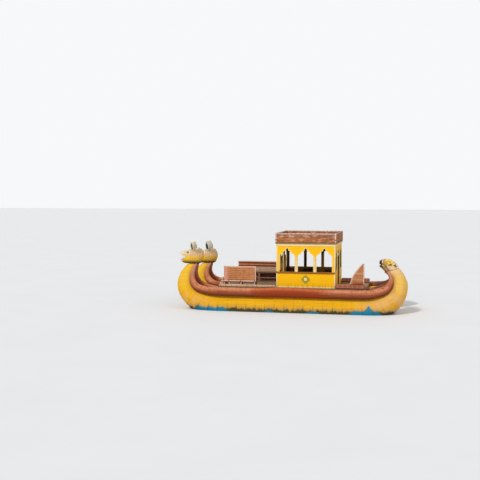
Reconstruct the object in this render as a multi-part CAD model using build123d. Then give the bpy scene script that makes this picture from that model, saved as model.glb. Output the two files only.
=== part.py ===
from build123d import *
from math import asin, cos, pi, sin
import os

# Twin-hulled reed boat: two curled bundle hulls side by side, a deck across them, a yellow cabin
# with arched windows and a roof terrace, benches fore and aft, an animal head on every hull end.
# Millimetres, +X to the bow, +Y to port, +Z up.  Origin under the middle, at the hulls' lowest line.

# Hulls and rolls
HULL_Y = 1100.0          # middle of each hull from the boat's middle plane
HULL_SHOULDER = 600.0    # half the width of a bundle amidships, at the lower edge of its shoulder
HULL_HEIGHT = 1180.0     # height of a bundle amidships
CROWN_HALF = 260.0       # half the width of the flat crown the deck beams lie on
SHOULDER_AT = 0.712      # height of the shoulder's lower edge, as a share of the bundle's height
ROLL_R = 175.0           # outer roll radius amidships
INNER_ROLL_R = 150.0     # inner roll radius amidships
HULL_STRAKES = 20        # reed sheaves side by side round the belly
ROLL_STRAKES = 14        # and round a roll
FIT = 0.3                # gap left between curved faces that bear on each other
INNER_FIT = 0.8          # the same for the inner roll, whose line wanders along its shoulder

# Deck
BEAM_HIGH = 80.0
BEAM_WIDE = 110.0
BEAM_END = 40.0          # how far a beam stops short of the deck's edge
DECK_THICK = 40.0
DECK_TOP = HULL_HEIGHT + BEAM_HIGH + DECK_THICK
DECK_HALF = 1420.0       # half the deck's width
FORE_DECK_END = 2680.0
AFT_DECK_END = -2860.0
BEAM_STEP = 670.0        # beams under the cabin and the decks, middle to middle
BEAM_COUNT = 9

# Cabin
CABIN_FRONT = 480.0
CABIN_AFT = -1725.0
SIDE_DECK = 220.0        # deck left outside each side wall
CABIN_HALF = DECK_HALF - SIDE_DECK   # to the outside face of the side walls
WALL = 40.0
POST = 90.0
SILL_RISE = 540.0        # deck to the foot of the windows
WALL_RISE = 1650.0       # deck to the eaves
SILL_Z = DECK_TOP + SILL_RISE
SILL_HIGH = 60.0
SILL_PROUD = 45.0        # how far the sill stands out of the wall
EAVES_Z = DECK_TOP + WALL_RISE
CORNICE_HIGH = 55.0
CORNICE_PROUD = 22.0
ROOF_THICK = 50.0
ROOF_OVER = 45.0         # overhang of the roof past the walls
PARAPET_HIGH = 350.0
PARAPET_ROLLS = 5        # reed rolls stacked in the parapet
PARAPET_THICK = 70.0

# Arched openings
WINDOW_HALF = 300.0
DOOR_HALF = 350.0
ARCH_RISE = 275.0        # spring to the foot of the keyhole
KEY_HIGH = 105.0
KEY_HALF = 52.0
HEAD_WALL = 150.0        # wall left above the keyholes
SPRING_Z = EAVES_Z - HEAD_WALL - KEY_HIGH - ARCH_RISE
MULLION = 100.0          # wall left between neighbouring side windows
END_JAMB = 35.0          # wall left on each side of an end window
COLUMN_R = 30.0          # turned colonnettes in front of the mullions

# Seats
SEAT_Z = DECK_TOP + 380.0
SEAT_THICK = 40.0
LEG = 60.0
BACK_TOP = SEAT_Z + 400.0
BACK_THICK = 50.0
BACK_DROP = 60.0         # how far a back reaches below the seat's top
BENCH_OUT = DECK_HALF - 130.0   # outside face of the bench backs
BENCH_DEEP = 410.0
BENCH_FORE = 2510.0
BOARDING_EDGE = 1260.0   # where the port bench stops for boarding
RAIL_Y = DECK_HALF - 70.0
RAIL_R = 22.0
RAIL_TOP = DECK_TOP + 245.0
MOORING_R = 40.0
MOORING_HIGH = 330.0
AFT_SEAT_HIGH = 170.0
LADDER_OFF = 150.0       # first rail, in from the cabin's starboard corner
LADDER_WIDE = 450.0
LADDER_Y = (LADDER_OFF - CABIN_HALF, LADDER_OFF + LADDER_WIDE - CABIN_HALF)
RUNG_R = 16.0

# Hull stations, stern to bow: outer (belly) point x, z, inner (crown) point x, z,
# half width of the belly, half width of the flat crown, outer roll radius, inner roll radius,
# inner roll's place down the shoulder (0 crown edge, 1 belly edge).
HULL_ROWS = [
    (-4080.0, 2110.0, -3645.0, 1980.0, 185.0, 45.0, 85.0, 85.0, 0.50),
    (-4305.0, 1760.0, -3760.0, 1770.0, 260.0, 75.0, 108.0, 108.0, 0.50),
    (-4390.0, 1330.0, -3750.0, 1500.0, 360.0, 120.0, 136.0, 134.0, 0.50),
    (-4220.0, 790.0, -3550.0, 1285.0, 470.0, 175.0, 158.0, 148.0, 0.55),
    (-3720.0, 300.0, -3200.0, 1200.0, 560.0, 225.0, 170.0, 150.0, 0.66),
    (-3080.0, 62.0, -2860.0, HULL_HEIGHT, HULL_SHOULDER, CROWN_HALF, ROLL_R, INNER_ROLL_R, 0.80),
    (-2170.0, 0.0, -2170.0, HULL_HEIGHT, HULL_SHOULDER, CROWN_HALF, ROLL_R, INNER_ROLL_R, 0.80),
    (2030.0, 0.0, 2030.0, HULL_HEIGHT, HULL_SHOULDER, CROWN_HALF, ROLL_R, INNER_ROLL_R, 0.80),
    (2940.0, 62.0, 2720.0, HULL_HEIGHT, HULL_SHOULDER, CROWN_HALF, ROLL_R, INNER_ROLL_R, 0.80),
    (3710.0, 330.0, 3160.0, 1200.0, 560.0, 225.0, 170.0, 150.0, 0.66),
    (4220.0, 800.0, 3520.0, 1290.0, 470.0, 175.0, 158.0, 148.0, 0.55),
    (4390.0, 1290.0, 3690.0, 1500.0, 360.0, 120.0, 136.0, 134.0, 0.50),
    (4270.0, 1770.0, 3715.0, 1800.0, 260.0, 75.0, 108.0, 108.0, 0.50),
    (3990.0, 2130.0, 3620.0, 2130.0, 185.0, 45.0, 85.0, 85.0, 0.50),
]
STRAIGHT_BAY = 6

# The starboard ends have sagged: how far its stern and bow tips moved in x and z, and the share
# of that at each station from the tip inwards.
STERN_SAG = (240.0, -260.0)
BOW_SAG = (0.0, -150.0)
SAG_SHARES = (1.0, 0.62, 0.25, 0.05)

# Bow head sections, nape to snout: x, underside z, top z, half width.
BOW_HEAD_ROWS = [
    (3342.0, 2400.0, 2500.0, 60.0),
    (3395.0, 2235.0, 2655.0, 185.0),
    (3520.0, 2105.0, 2755.0, 270.0),
    (3720.0, 2080.0, 2740.0, 290.0),
    (3890.0, 2090.0, 2685.0, 262.0),
    (4010.0, 2118.0, 2650.0, 212.0),
    (4130.0, 2155.0, 2632.0, 165.0),
    (4225.0, 2195.0, 2615.0, 130.0),
    (4268.0, 2228.0, 2597.0, 92.0),
]
# Mouth of the bow head: corner x, z, upper and lower lip z at the snout.
BOW_MOUTH = (4020.0, 2400.0, 2528.0, 2265.0)

# Stern head sections, neck to muzzle: outer x, z, inner x, z, half width.
STERN_HEAD_ROWS = [
    HULL_ROWS[0][:4] + (232.0,),
    (-3975.0, 2275.0, -3582.0, 2045.0, 236.0),
    (-3810.0, 2388.0, -3540.0, 2090.0, 222.0),
    (-3640.0, 2470.0, -3505.0, 2120.0, 190.0),
    (-3515.0, 2462.0, -3478.0, 2142.0, 150.0),
    (-3436.0, 2392.0, -3432.0, 2188.0, 98.0),
]
STERN_MOUTH = (-3565.0, 2238.0, 2345.0, 2205.0)

# Ear pairs: foot x, foot z, distance from the hull's middle, length, half width along X,
# half thickness, lean back in degrees, splay in degrees.
BOW_EAR = (3745.0, 2640.0, 165.0, 340.0, 108.0, 46.0, -7.0, 10.0)
STERN_EAR = (-3900.0, 2225.0, 140.0, 200.0, 62.0, 34.0, 35.0, 35.0)

os.makedirs("parts", exist_ok=True)


def box(x0, x1, y0, y1, z0, z1):
    """Block between two corners, given in any order."""
    return Pos((x0 + x1) / 2, (y0 + y1) / 2, (z0 + z1) / 2) * Box(
        abs(x1 - x0), abs(y1 - y0), abs(z1 - z0))


def between(rows, i, t):
    """Row at share t between rows i and i + 1, on a smooth curve through the table."""
    last = len(rows) - 1
    r0, r1, r2, r3 = rows[max(i - 1, 0)], rows[i], rows[i + 1], rows[min(i + 2, last)]
    gaps = [((q[0] - p[0]) ** 2 + (q[1] - p[1]) ** 2) ** 0.5 for p, q in ((r0, r1), (r1, r2), (r2, r3))]
    made = []
    for a, b, c, d in zip(r0, r1, r2, r3):
        m1 = (c - a) * gaps[1] / (gaps[0] + gaps[1]) if b != c else 0
        m2 = (d - b) * gaps[1] / (gaps[1] + gaps[2]) if b != c else 0
        made.append((2 * t**3 - 3 * t**2 + 1) * b + (t**3 - 2 * t**2 + t) * m1
                    + (3 * t**2 - 2 * t**3) * c + (t**3 - t**2) * m2)
    return tuple(made)


def fine_rows(rows, straight=-1):
    """The table with an extra row halfway along every bay but the straight one."""
    made = []
    for i in range(len(rows) - 1):
        made.append(rows[i])
        if i != straight:
            made.append(between(rows, i, 0.5))
    return made + [rows[-1]]


def ring(points):
    """Flat face inside a closed run of points."""
    return make_face(Polyline(points + points[:1]))


def oval(half_wide, half_high, sides):
    """Many-sided oval, one side to each reed sheaf."""
    turns = [2 * pi * (i + 0.5) / sides for i in range(sides)]
    return ring([(half_wide * cos(a), half_high * sin(a)) for a in turns])


def skin(faces):
    """Solid ruled from section to section, as reed sheaves run."""
    return loft(faces, ruled=True)


def cross_plane(row, y):
    """Plane of one station: its X runs to port, its Y from belly to crown.  Also the height there."""
    dx, dz = row[2] - row[0], row[3] - row[1]
    high = (dx * dx + dz * dz) ** 0.5
    return Plane(origin=(row[0], y, row[1]), x_dir=(0, 1, 0), z_dir=(dz / high, 0, -dx / high)), high


def hull_section(row, y):
    """Round belly of flat sheaves, two sloping shoulders for the rolls, flat crown."""
    place, high = cross_plane(row, y)
    low, wide, crown = SHOULDER_AT * high, row[4], row[5]
    radius = (wide * wide + low * low) / (2 * low)
    reach = asin(wide / radius) if low < radius else pi - asin(wide / radius)
    turns = [reach - 2 * reach * i / HULL_STRAKES for i in range(HULL_STRAKES + 1)]
    belly = [(radius * sin(a), radius - radius * cos(a)) for a in turns]
    return place * ring([(-crown, high), (crown, high)] + belly)


def roll_section(row, y, way, radius, down, gap):
    """Ring of a roll lying on the shoulder at one station."""
    place, high = cross_plane(row, y)
    run, drop = row[4] - row[5], (1 - SHOULDER_AT) * high
    slope = (run * run + drop * drop) ** 0.5
    across = row[5] + down * run + (radius + gap) * drop / slope
    up = high - down * drop + (radius + gap) * run / slope
    return place * (Pos(way * across, up) * oval(radius, radius, ROLL_STRAKES))


def moved(row, shift, share):
    """Station or stern head row with both its points moved by a share of (x, z)."""
    dx, dz = shift[0] * share, shift[1] * share
    return (row[0] + dx, row[1] + dz, row[2] + dx, row[3] + dz) + row[4:]


def stations(side):
    """Stations of one hull, stern to bow, the starboard ones sagging at both ends."""
    rows = list(HULL_ROWS)
    if side < 0:
        for i, share in enumerate(SAG_SHARES):
            rows[i] = moved(rows[i], STERN_SAG, share)
            rows[-1 - i] = moved(rows[-1 - i], BOW_SAG, share)
    return fine_rows(rows, STRAIGHT_BAY)


def hull(side):
    """One main bundle, from the throat of the stern head to the flat top of the bow."""
    return skin([hull_section(row, side * HULL_Y) for row in stations(side)])


def outer_roll(side):
    """Gunwale roll along the outboard shoulder."""
    return skin([roll_section(row, side * HULL_Y, side, row[6], 0.5, FIT) for row in stations(side)])


def inner_roll(side):
    """Roll along the inboard shoulder, lower amidships so that the deck beams pass over it."""
    return skin([roll_section(row, side * HULL_Y, -side, row[7], row[8], INNER_FIT)
                 for row in stations(side)])


def ear(side_y, way, spec):
    """Tapered ear, its foot sunk in the head, leaning back and out."""
    x, z, off, tall, wide, thick, lean, splay = spec
    taper = ((0.0, 1.0), (0.5, 0.9), (0.82, 0.6), (1.0, 0.25))
    rings = [Plane.XY.offset(share * tall) * oval(wide * size, thick * size, 10) for share, size in taper]
    return Pos(x, side_y + way * off, z) * Rot(-way * splay, -lean, 0) * skin(rings)


def mouth(y, corner_x, corner_z, lip_z, chin_z, tip_x):
    """Wedge cut out between the lips."""
    wedge = ring([(corner_x, corner_z), (tip_x, lip_z), (tip_x, chin_z)])
    return Pos(0, y + 400, 0) * extrude(Plane.XZ * wedge, 800)


def bow_head(side):
    """Feline head looking forward, mouth open, ears up, on the flat top of the bow."""
    y, bow_top = side * HULL_Y, HULL_ROWS[-1][1]
    faces = []
    for x, z0, z1, half in fine_rows(BOW_HEAD_ROWS):
        place = Plane(origin=(x, y, (z0 + z1) / 2), x_dir=(0, 1, 0), z_dir=(1, 0, 0))
        faces.append(place * oval(half, (z1 - z0) / 2, 18))
    head = skin(faces) - box(3000, 4600, y - 500, y + 500, 1900, bow_top)
    head -= mouth(y, *BOW_MOUTH, 4350)
    head += ear(y, 1, BOW_EAR) + ear(y, -1, BOW_EAR)
    return Pos(BOW_SAG[0], 0, BOW_SAG[1]) * head if side < 0 else head


def stern_head(side):
    """Head at the curled-over end of the stern, looking inboard, with an open mouth."""
    y = side * HULL_Y
    faces = []
    for x0, z0, x1, z1, half in fine_rows(STERN_HEAD_ROWS):
        place, high = cross_plane((x0, z0, x1, z1), y)
        faces.append(place * (Pos(0, high / 2) * oval(half, high / 2, 18)))
    head = skin(faces) - mouth(y, *STERN_MOUTH, -3290)
    head += ear(y, 1, STERN_EAR) + ear(y, -1, STERN_EAR)
    return Pos(STERN_SAG[0], 0, STERN_SAG[1]) * head if side < 0 else head


def cross_beams():
    """Beams on the hull crowns under the deck."""
    middle = (FORE_DECK_END + AFT_DECK_END) / 2
    xs = [middle + (i - (BEAM_COUNT - 1) / 2) * BEAM_STEP for i in range(BEAM_COUNT)]
    half = DECK_HALF - BEAM_END
    return [box(x - BEAM_WIDE / 2, x + BEAM_WIDE / 2, -half, half, HULL_HEIGHT, HULL_HEIGHT + BEAM_HIGH)
            for x in xs]


def deck(x0, x1):
    """One deck field on the beams."""
    return box(x0, x1, -DECK_HALF, DECK_HALF, DECK_TOP - DECK_THICK, DECK_TOP)


def arch_outline(half, base):
    """Opening about x = 0: straight jambs, scalloped pointed head, keyhole at the top."""
    s, a, k = SPRING_Z, SPRING_Z + ARCH_RISE, SPRING_Z + ARCH_RISE + KEY_HIGH
    bend, tip = s + ARCH_RISE * 0.60, s + ARCH_RISE * 0.90
    pieces = [Line((half, base), (half, s)),
              ThreePointArc((half, s), (half * 0.86, s + ARCH_RISE * 0.46), (half * 0.56, bend)),
              ThreePointArc((half * 0.56, bend), (half * 0.44, tip), (KEY_HALF, a)),
              Line((KEY_HALF, a), (KEY_HALF, k - KEY_HALF)),
              Line((KEY_HALF, k - KEY_HALF), (0, k)),
              Line((0, base), (half, base))]
    edges = [piece.edge() for piece in pieces] + [mirror(piece, Plane.YZ).edge() for piece in pieces]
    return make_face(edges)


def side_windows():
    """Middles of the three windows between the corner posts."""
    middle, step = (CABIN_FRONT + CABIN_AFT) / 2, 2 * WINDOW_HALF + MULLION
    return [middle + step, middle, middle - step]


def arcade(side):
    """Side wall above the sill with its three arched windows."""
    y0 = side * CABIN_HALF
    wall = box(CABIN_AFT + POST, CABIN_FRONT - POST, y0, y0 - side * WALL, SILL_Z + SILL_HIGH, EAVES_Z)
    cut = extrude(Plane.XZ * arch_outline(WINDOW_HALF, SILL_Z), 2 * WALL, both=True)
    for x in side_windows():
        wall -= Pos(x, y0, 0) * cut
    return wall


def end_wall(x, way):
    """End wall: an arched doorway between two arched windows, jambs thick as the posts."""
    inner = CABIN_HALF - POST
    bay, room = (DOOR_HALF + POST + inner) / 2, inner - DOOR_HALF - POST
    wall = box(x, x + way * WALL, -inner, inner, DECK_TOP, EAVES_Z)
    door = extrude(Plane.YZ * arch_outline(DOOR_HALF, DECK_TOP - 10), 2 * WALL, both=True)
    window = extrude(Plane.YZ * arch_outline(room / 2 - END_JAMB, SILL_Z + SILL_HIGH), 2 * WALL, both=True)
    wall -= Pos(x, 0, 0) * door
    for side in (-1, 1):
        wall -= Pos(x, side * bay, 0) * window
        wall += box(x, x + way * POST, side * DOOR_HALF, side * (DOOR_HALF + POST), DECK_TOP,
                    SPRING_Z)
    return wall


def lower_panel(side):
    """Closed panel between deck and sill."""
    y0 = side * CABIN_HALF
    return box(CABIN_AFT + POST, CABIN_FRONT - POST, y0, y0 - side * WALL, DECK_TOP, SILL_Z)


def sill(side):
    """Brown rail that stands out under the windows, with a rounded nose that passes the posts."""
    y0, half = side * CABIN_HALF, SILL_HIGH / 2
    nose = SILL_PROUD - half
    profile = make_face([
        Line((-WALL, 0), (nose, 0)).edge(),
        ThreePointArc((nose, 0), (SILL_PROUD, half), (nose, SILL_HIGH)).edge(),
        Line((nose, SILL_HIGH), (-WALL, SILL_HIGH)).edge(),
        Line((-WALL, SILL_HIGH), (-WALL, 0)).edge()])
    rail = extrude(Plane(origin=(CABIN_AFT, y0, SILL_Z), x_dir=(0, side, 0),
                         z_dir=(side, 0, 0)) * profile, side * (CABIN_FRONT - CABIN_AFT))
    for x, way in ((CABIN_FRONT, -1), (CABIN_AFT, 1)):
        rail -= box(x - way, x + way * POST, y0, y0 - side * POST, SILL_Z - 1, SILL_Z + SILL_HIGH + 1)
    return rail


def corner_posts():
    """Four corner posts from deck to eaves."""
    return [box(x, x + s * POST, side * CABIN_HALF, side * (CABIN_HALF - POST), DECK_TOP, EAVES_Z)
            for x, s in ((CABIN_FRONT, -1), (CABIN_AFT, 1)) for side in (-1, 1)]


def colonnettes(side):
    """Half-round colonnettes against the mullions, from sill to spring, with a foot and a capital."""
    tall = SPRING_Z - SILL_Z - SILL_HIGH
    swell = ((0, 1.35), (40, 1.35), (70, 0.8), (110, 1.0), (tall - 120, 0.85), (tall - 90, 0.7),
             (tall - 40, 1.3), (tall, 1.3))
    rings = []
    for z, size in swell:
        r = COLUMN_R * size
        points = [(r * cos(pi * i / 6), side * r * sin(pi * i / 6)) for i in range(7)]
        rings.append(Plane.XY.offset(z) * ring(points))
    column, xs = skin(rings), side_windows()
    return [Pos((a + b) / 2, side * CABIN_HALF, SILL_Z + SILL_HIGH) * column for a, b in zip(xs, xs[1:])]


def cornice():
    """Pale moulding round the cabin just under the roof."""
    x0, x1, y = CABIN_AFT - CORNICE_PROUD, CABIN_FRONT + CORNICE_PROUD, CABIN_HALF + CORNICE_PROUD
    outer = box(x0, x1, -y, y, EAVES_Z - CORNICE_HIGH, EAVES_Z)
    return outer - box(CABIN_AFT, CABIN_FRONT, -CABIN_HALF, CABIN_HALF, EAVES_Z - 100, EAVES_Z + 10)


def roof_deck():
    """Flat roof on the walls."""
    y = CABIN_HALF + ROOF_OVER
    return box(CABIN_AFT - ROOF_OVER, CABIN_FRONT + ROOF_OVER, -y, y, EAVES_Z, EAVES_Z + ROOF_THICK)


def parapet_profile():
    """Stack of reed rolls, seen from the end: x from inside to outside, y up."""
    step, half, belly = PARAPET_HIGH / PARAPET_ROLLS, PARAPET_THICK / 2, 14.0
    edges = [Line((-half + belly, 0), (half - belly, 0)).edge()]
    for i in range(PARAPET_ROLLS):
        z = i * step
        for way in (-1, 1):
            foot = way * (half - belly)
            edges.append(ThreePointArc((foot, z), (way * half, z + step / 2), (foot, z + step)).edge())
    return make_face(edges + [Line((-half + belly, PARAPET_HIGH), (half - belly, PARAPET_HIGH)).edge()])


def parapet(side):
    """Long side of the roof parapet."""
    x0, length = CABIN_AFT - ROOF_OVER, CABIN_FRONT - CABIN_AFT + 2 * ROOF_OVER
    y = side * (CABIN_HALF + ROOF_OVER - PARAPET_THICK / 2)
    place = Plane(origin=(x0, y, EAVES_Z + ROOF_THICK), x_dir=(0, 1, 0), z_dir=(1, 0, 0))
    return extrude(place * parapet_profile(), length)


def parapet_end(x, way):
    """Short side of the roof parapet, between the long ones."""
    half = CABIN_HALF + ROOF_OVER - PARAPET_THICK
    place = Plane(origin=(x + way * PARAPET_THICK / 2, half, EAVES_Z + ROOF_THICK),
                  x_dir=(1, 0, 0), z_dir=(0, -1, 0))
    return extrude(place * parapet_profile(), 2 * half)


def side_bench(side, x0, x1):
    """Fore bench along one side: seat board on six legs, foot rail between the inboard ones."""
    outer, inner = BENCH_OUT - BACK_THICK, BENCH_OUT - BACK_THICK - BENCH_DEEP
    seat, half = box(x0, x1, side * inner, side * outer, SEAT_Z - SEAT_THICK, SEAT_Z), LEG / 2
    for x in (x0 + LEG, (x0 + x1) / 2, x1 - LEG):
        for y in (side * (inner + LEG), side * (outer - LEG)):
            seat += box(x - half, x + half, y - half, y + half, DECK_TOP, SEAT_Z - SEAT_THICK)
    return seat + box(x0 + LEG, x1 - LEG, side * (inner + LEG - 15), side * (inner + LEG + 15),
                      DECK_TOP + 120, DECK_TOP + 160)


def side_back(side, x0, x1):
    """Woven back panel along a side bench, in a frame of end posts and a proud top rail."""
    outer, inner, inset = side * BENCH_OUT, side * (BENCH_OUT - BACK_THICK), side * 12.0
    z0, z1 = SEAT_Z - BACK_DROP, BACK_TOP
    back = box(x0, x1, outer - inset, inner + inset, z0, z1 - 20)
    back += box(x0, x1, outer, inner, z1 - 45, z1)
    for x in (x0, x1 - 45):
        back += box(x, x + 45, outer, inner, z0, z1 - 20)
    return back


def side_rail(side):
    """Low rail of rough poles on four posts, outboard of the fore bench."""
    y, z, x0, x1 = side * RAIL_Y, RAIL_TOP - RAIL_R, BOARDING_EDGE, FORE_DECK_END - 40
    along = Plane(origin=(x0, y, z), x_dir=(0, 1, 0), z_dir=(1, 0, 0))
    rail = extrude(along * oval(RAIL_R, RAIL_R, 10), x1 - x0)
    for i in range(4):
        x = x0 + 35 + (x1 - x0 - 70) * i / 3
        rail += Pos(x, y, DECK_TOP) * extrude(oval(RAIL_R, RAIL_R, 10), z - DECK_TOP)
    return rail


def mooring_post(side):
    """Round post at the fore end of the deck."""
    return Pos(FORE_DECK_END - 60, side * (BENCH_OUT - 280), DECK_TOP) * Cylinder(
        MOORING_R, MOORING_HIGH, align=(Align.CENTER, Align.CENTER, Align.MIN))


def aft_bench(side):
    """Low reed seat along one side of the aft deck, rounded along its top edges."""
    x0, length = AFT_DECK_END + 20, 1090.0
    wide, high, round_r = 380.0, AFT_SEAT_HIGH, 60.0
    tuck = round_r * (1 - 0.7071)
    edge, shoulder = wide / 2, high - round_r
    half = [Line((0, 0), (edge, 0)), Line((edge, 0), (edge, shoulder)),
            ThreePointArc((edge, shoulder), (edge - tuck, high - tuck), (edge - round_r, high)),
            Line((edge - round_r, high), (0, high))]
    face = make_face([p.edge() for p in half] + [mirror(p, Plane.YZ).edge() for p in half])
    y = side * (DECK_HALF - 30 - edge)
    place = Plane(origin=(x0, y, DECK_TOP), x_dir=(0, 1, 0), z_dir=(1, 0, 0))
    return extrude(place * face, length)


def wedge_back():
    """Triangular woven back on the port aft seat, with a thicker rim down its slope and aft edge."""
    z = DECK_TOP + AFT_SEAT_HIGH
    corners = [(-2270, z), (-2345, z + 260), (-2480, z + 480), (-2760, z + 820), (-2815, z + 820),
               (-2815, z)]
    inner = [(-2360, z), (-2410, z + 230), (-2530, z + 430), (-2752, z + 690), (-2760, z + 690),
             (-2760, z)]
    rim = extrude(Plane.XZ * ring(corners), 60) - extrude(Plane.XZ * ring(inner), 60)
    panel = Pos(0, -15, 0) * extrude(Plane.XZ * ring(corners), 30)
    return Pos(0, DECK_HALF - 170, 0) * (rim + panel)


def ladder():
    """Ladder against the front of the cabin, up to the parapet's top."""
    x = CABIN_FRONT + ROOF_OVER
    low, high = LADDER_Y
    top = EAVES_Z + ROOF_THICK + PARAPET_HIGH - 20
    made = box(x, x + 50, low - 25, low + 25, DECK_TOP, top)
    made += box(x, x + 50, high - 25, high + 25, DECK_TOP, top)
    for i in range(7):
        z = DECK_TOP + 260 + 270 * i
        made += Pos(x + 25, high, z) * extrude(Plane.XZ * oval(RUNG_R, RUNG_R, 8), high - low)
    return made


def ornament(side):
    """Stepped cross with a raised middle on the panel under the windows."""
    y, z = side * CABIN_HALF, (DECK_TOP + SILL_Z) / 2 + 50
    x = side_windows()[1]
    shape = box(x - 45, x + 45, y, y + side * 20, z - 45, z + 45)
    for half_x, half_z in ((150, 50), (100, 100), (50, 150)):
        shape += box(x - half_x, x + half_x, y, y + side * 12, z - half_z, z + half_z)
    return shape


def save(name, solids):
    """Write one node; several like solids go in as one compound."""
    if isinstance(solids, list):
        solids = Compound(children=solids)
    export_step(solids, "parts/" + name + ".step")


for side, tag in ((1, "port"), (-1, "starboard")):
    save("hull_" + tag, hull(side))
    save("outer_roll_" + tag, outer_roll(side))
    save("inner_roll_" + tag, inner_roll(side))
    save("bow_head_" + tag, bow_head(side))
    save("stern_head_" + tag, stern_head(side))
    save("arcade_" + tag, arcade(side))
    save("lower_panel_" + tag, lower_panel(side))
    save("sill_" + tag, sill(side))
    save("colonnettes_" + tag, colonnettes(side))
    save("parapet_" + tag, parapet(side))
    save("aft_bench_" + tag, aft_bench(side))
    save("side_rail_" + tag, side_rail(side))
    save("ornament_" + tag, ornament(side))

LADDER_CLEAR = CABIN_FRONT + ROOF_OVER + 90.0
save("mooring_posts", [mooring_post(1), mooring_post(-1)])
save("fore_bench_port", side_bench(1, BOARDING_EDGE, BENCH_FORE))
save("fore_bench_starboard", side_bench(-1, LADDER_CLEAR, BENCH_FORE))
save("fore_back_port", side_back(1, BOARDING_EDGE, BENCH_FORE))
save("fore_back_starboard", side_back(-1, LADDER_CLEAR, BENCH_FORE))
save("cross_beams", cross_beams())
save("fore_deck", deck(CABIN_FRONT, FORE_DECK_END))
save("cabin_floor", deck(CABIN_AFT, CABIN_FRONT))
save("aft_deck", deck(AFT_DECK_END, CABIN_AFT))
save("corner_posts", corner_posts())
save("fore_wall", end_wall(CABIN_FRONT, -1))
save("aft_wall", end_wall(CABIN_AFT, 1))
save("cornice", cornice())
save("roof_deck", roof_deck())
save("parapet_fore", parapet_end(CABIN_FRONT + ROOF_OVER, -1))
save("parapet_aft", parapet_end(CABIN_AFT - ROOF_OVER, 1))
save("wedge_back", wedge_back())
save("ladder", ladder())
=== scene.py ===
"""Looks of the twin-hulled reed boat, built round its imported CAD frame.

Every length is in metres, +X to the bow, +Y to port, +Z up, as in the frame.
"""

import logging
import math
from dataclasses import astuple, dataclass
from enum import Enum
from typing import Callable, Dict, List, Optional, Sequence, Tuple

import bmesh
import bpy
from mathutils import Matrix, Vector


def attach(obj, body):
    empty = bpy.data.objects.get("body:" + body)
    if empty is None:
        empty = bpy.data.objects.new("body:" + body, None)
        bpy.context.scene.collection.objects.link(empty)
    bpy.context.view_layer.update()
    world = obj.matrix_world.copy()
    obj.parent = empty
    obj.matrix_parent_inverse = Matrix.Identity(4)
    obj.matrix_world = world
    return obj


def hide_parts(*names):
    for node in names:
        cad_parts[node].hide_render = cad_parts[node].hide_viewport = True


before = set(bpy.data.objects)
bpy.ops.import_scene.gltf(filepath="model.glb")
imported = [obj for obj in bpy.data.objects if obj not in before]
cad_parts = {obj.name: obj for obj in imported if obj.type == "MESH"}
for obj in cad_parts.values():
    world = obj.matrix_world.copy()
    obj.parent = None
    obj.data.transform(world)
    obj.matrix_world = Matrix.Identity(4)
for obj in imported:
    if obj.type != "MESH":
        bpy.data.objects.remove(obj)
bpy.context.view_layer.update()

log = logging.getLogger("reed_boat")

Piece = bpy.types.Object
Finish = bpy.types.Material
Socket = bpy.types.NodeSocket
Pair = Tuple[float, float]
Triple = Tuple[float, float, float]
Colour = Triple
Row = Tuple[float, ...]

PORT, STARBOARD = 1, -1
SIDES = ((PORT, "port"), (STARBOARD, "starboard"))
ORIGIN: Triple = (0.0, 0.0, 0.0)
QUARTER = math.pi / 2
HULL_Y = 1.10
WATERLINE = 0.40
DECK_TOP = 1.30
DECK_FORE, DECK_AFT = 2.68, -2.86
CABIN_FORE, CABIN_AFT, CABIN_HALF = 0.48, -1.725, 1.20
CABIN_MID = -0.6225
PIER_OFF = 0.35
CROSS_HIGH = 1.62
STERN_SAG = (0.21, -0.22)
BOW_SAG = (0.0, -0.15)
SAG_SHARES = (1.0, 0.62, 0.25, 0.05)


class Grain(Enum):
    """Which way the stalks or fibres of a finish run: by the piece's own map, or along an axis."""

    ALONG_UV = "UV"
    ALONG_X = "X"
    ALONG_Y = "Y"
    ALONG_Z = "Z"

    def stretch(self, along: float, across: float) -> Triple:
        """Returns a pattern's factors on the three axes.

        Args:
            along: how fine it is along the grain.
            across: how fine it is across it.
        """
        if self is Grain.ALONG_UV:
            return (along, across, 1.0)
        return tuple(along if axis == self.value else across for axis in "XYZ")


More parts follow.
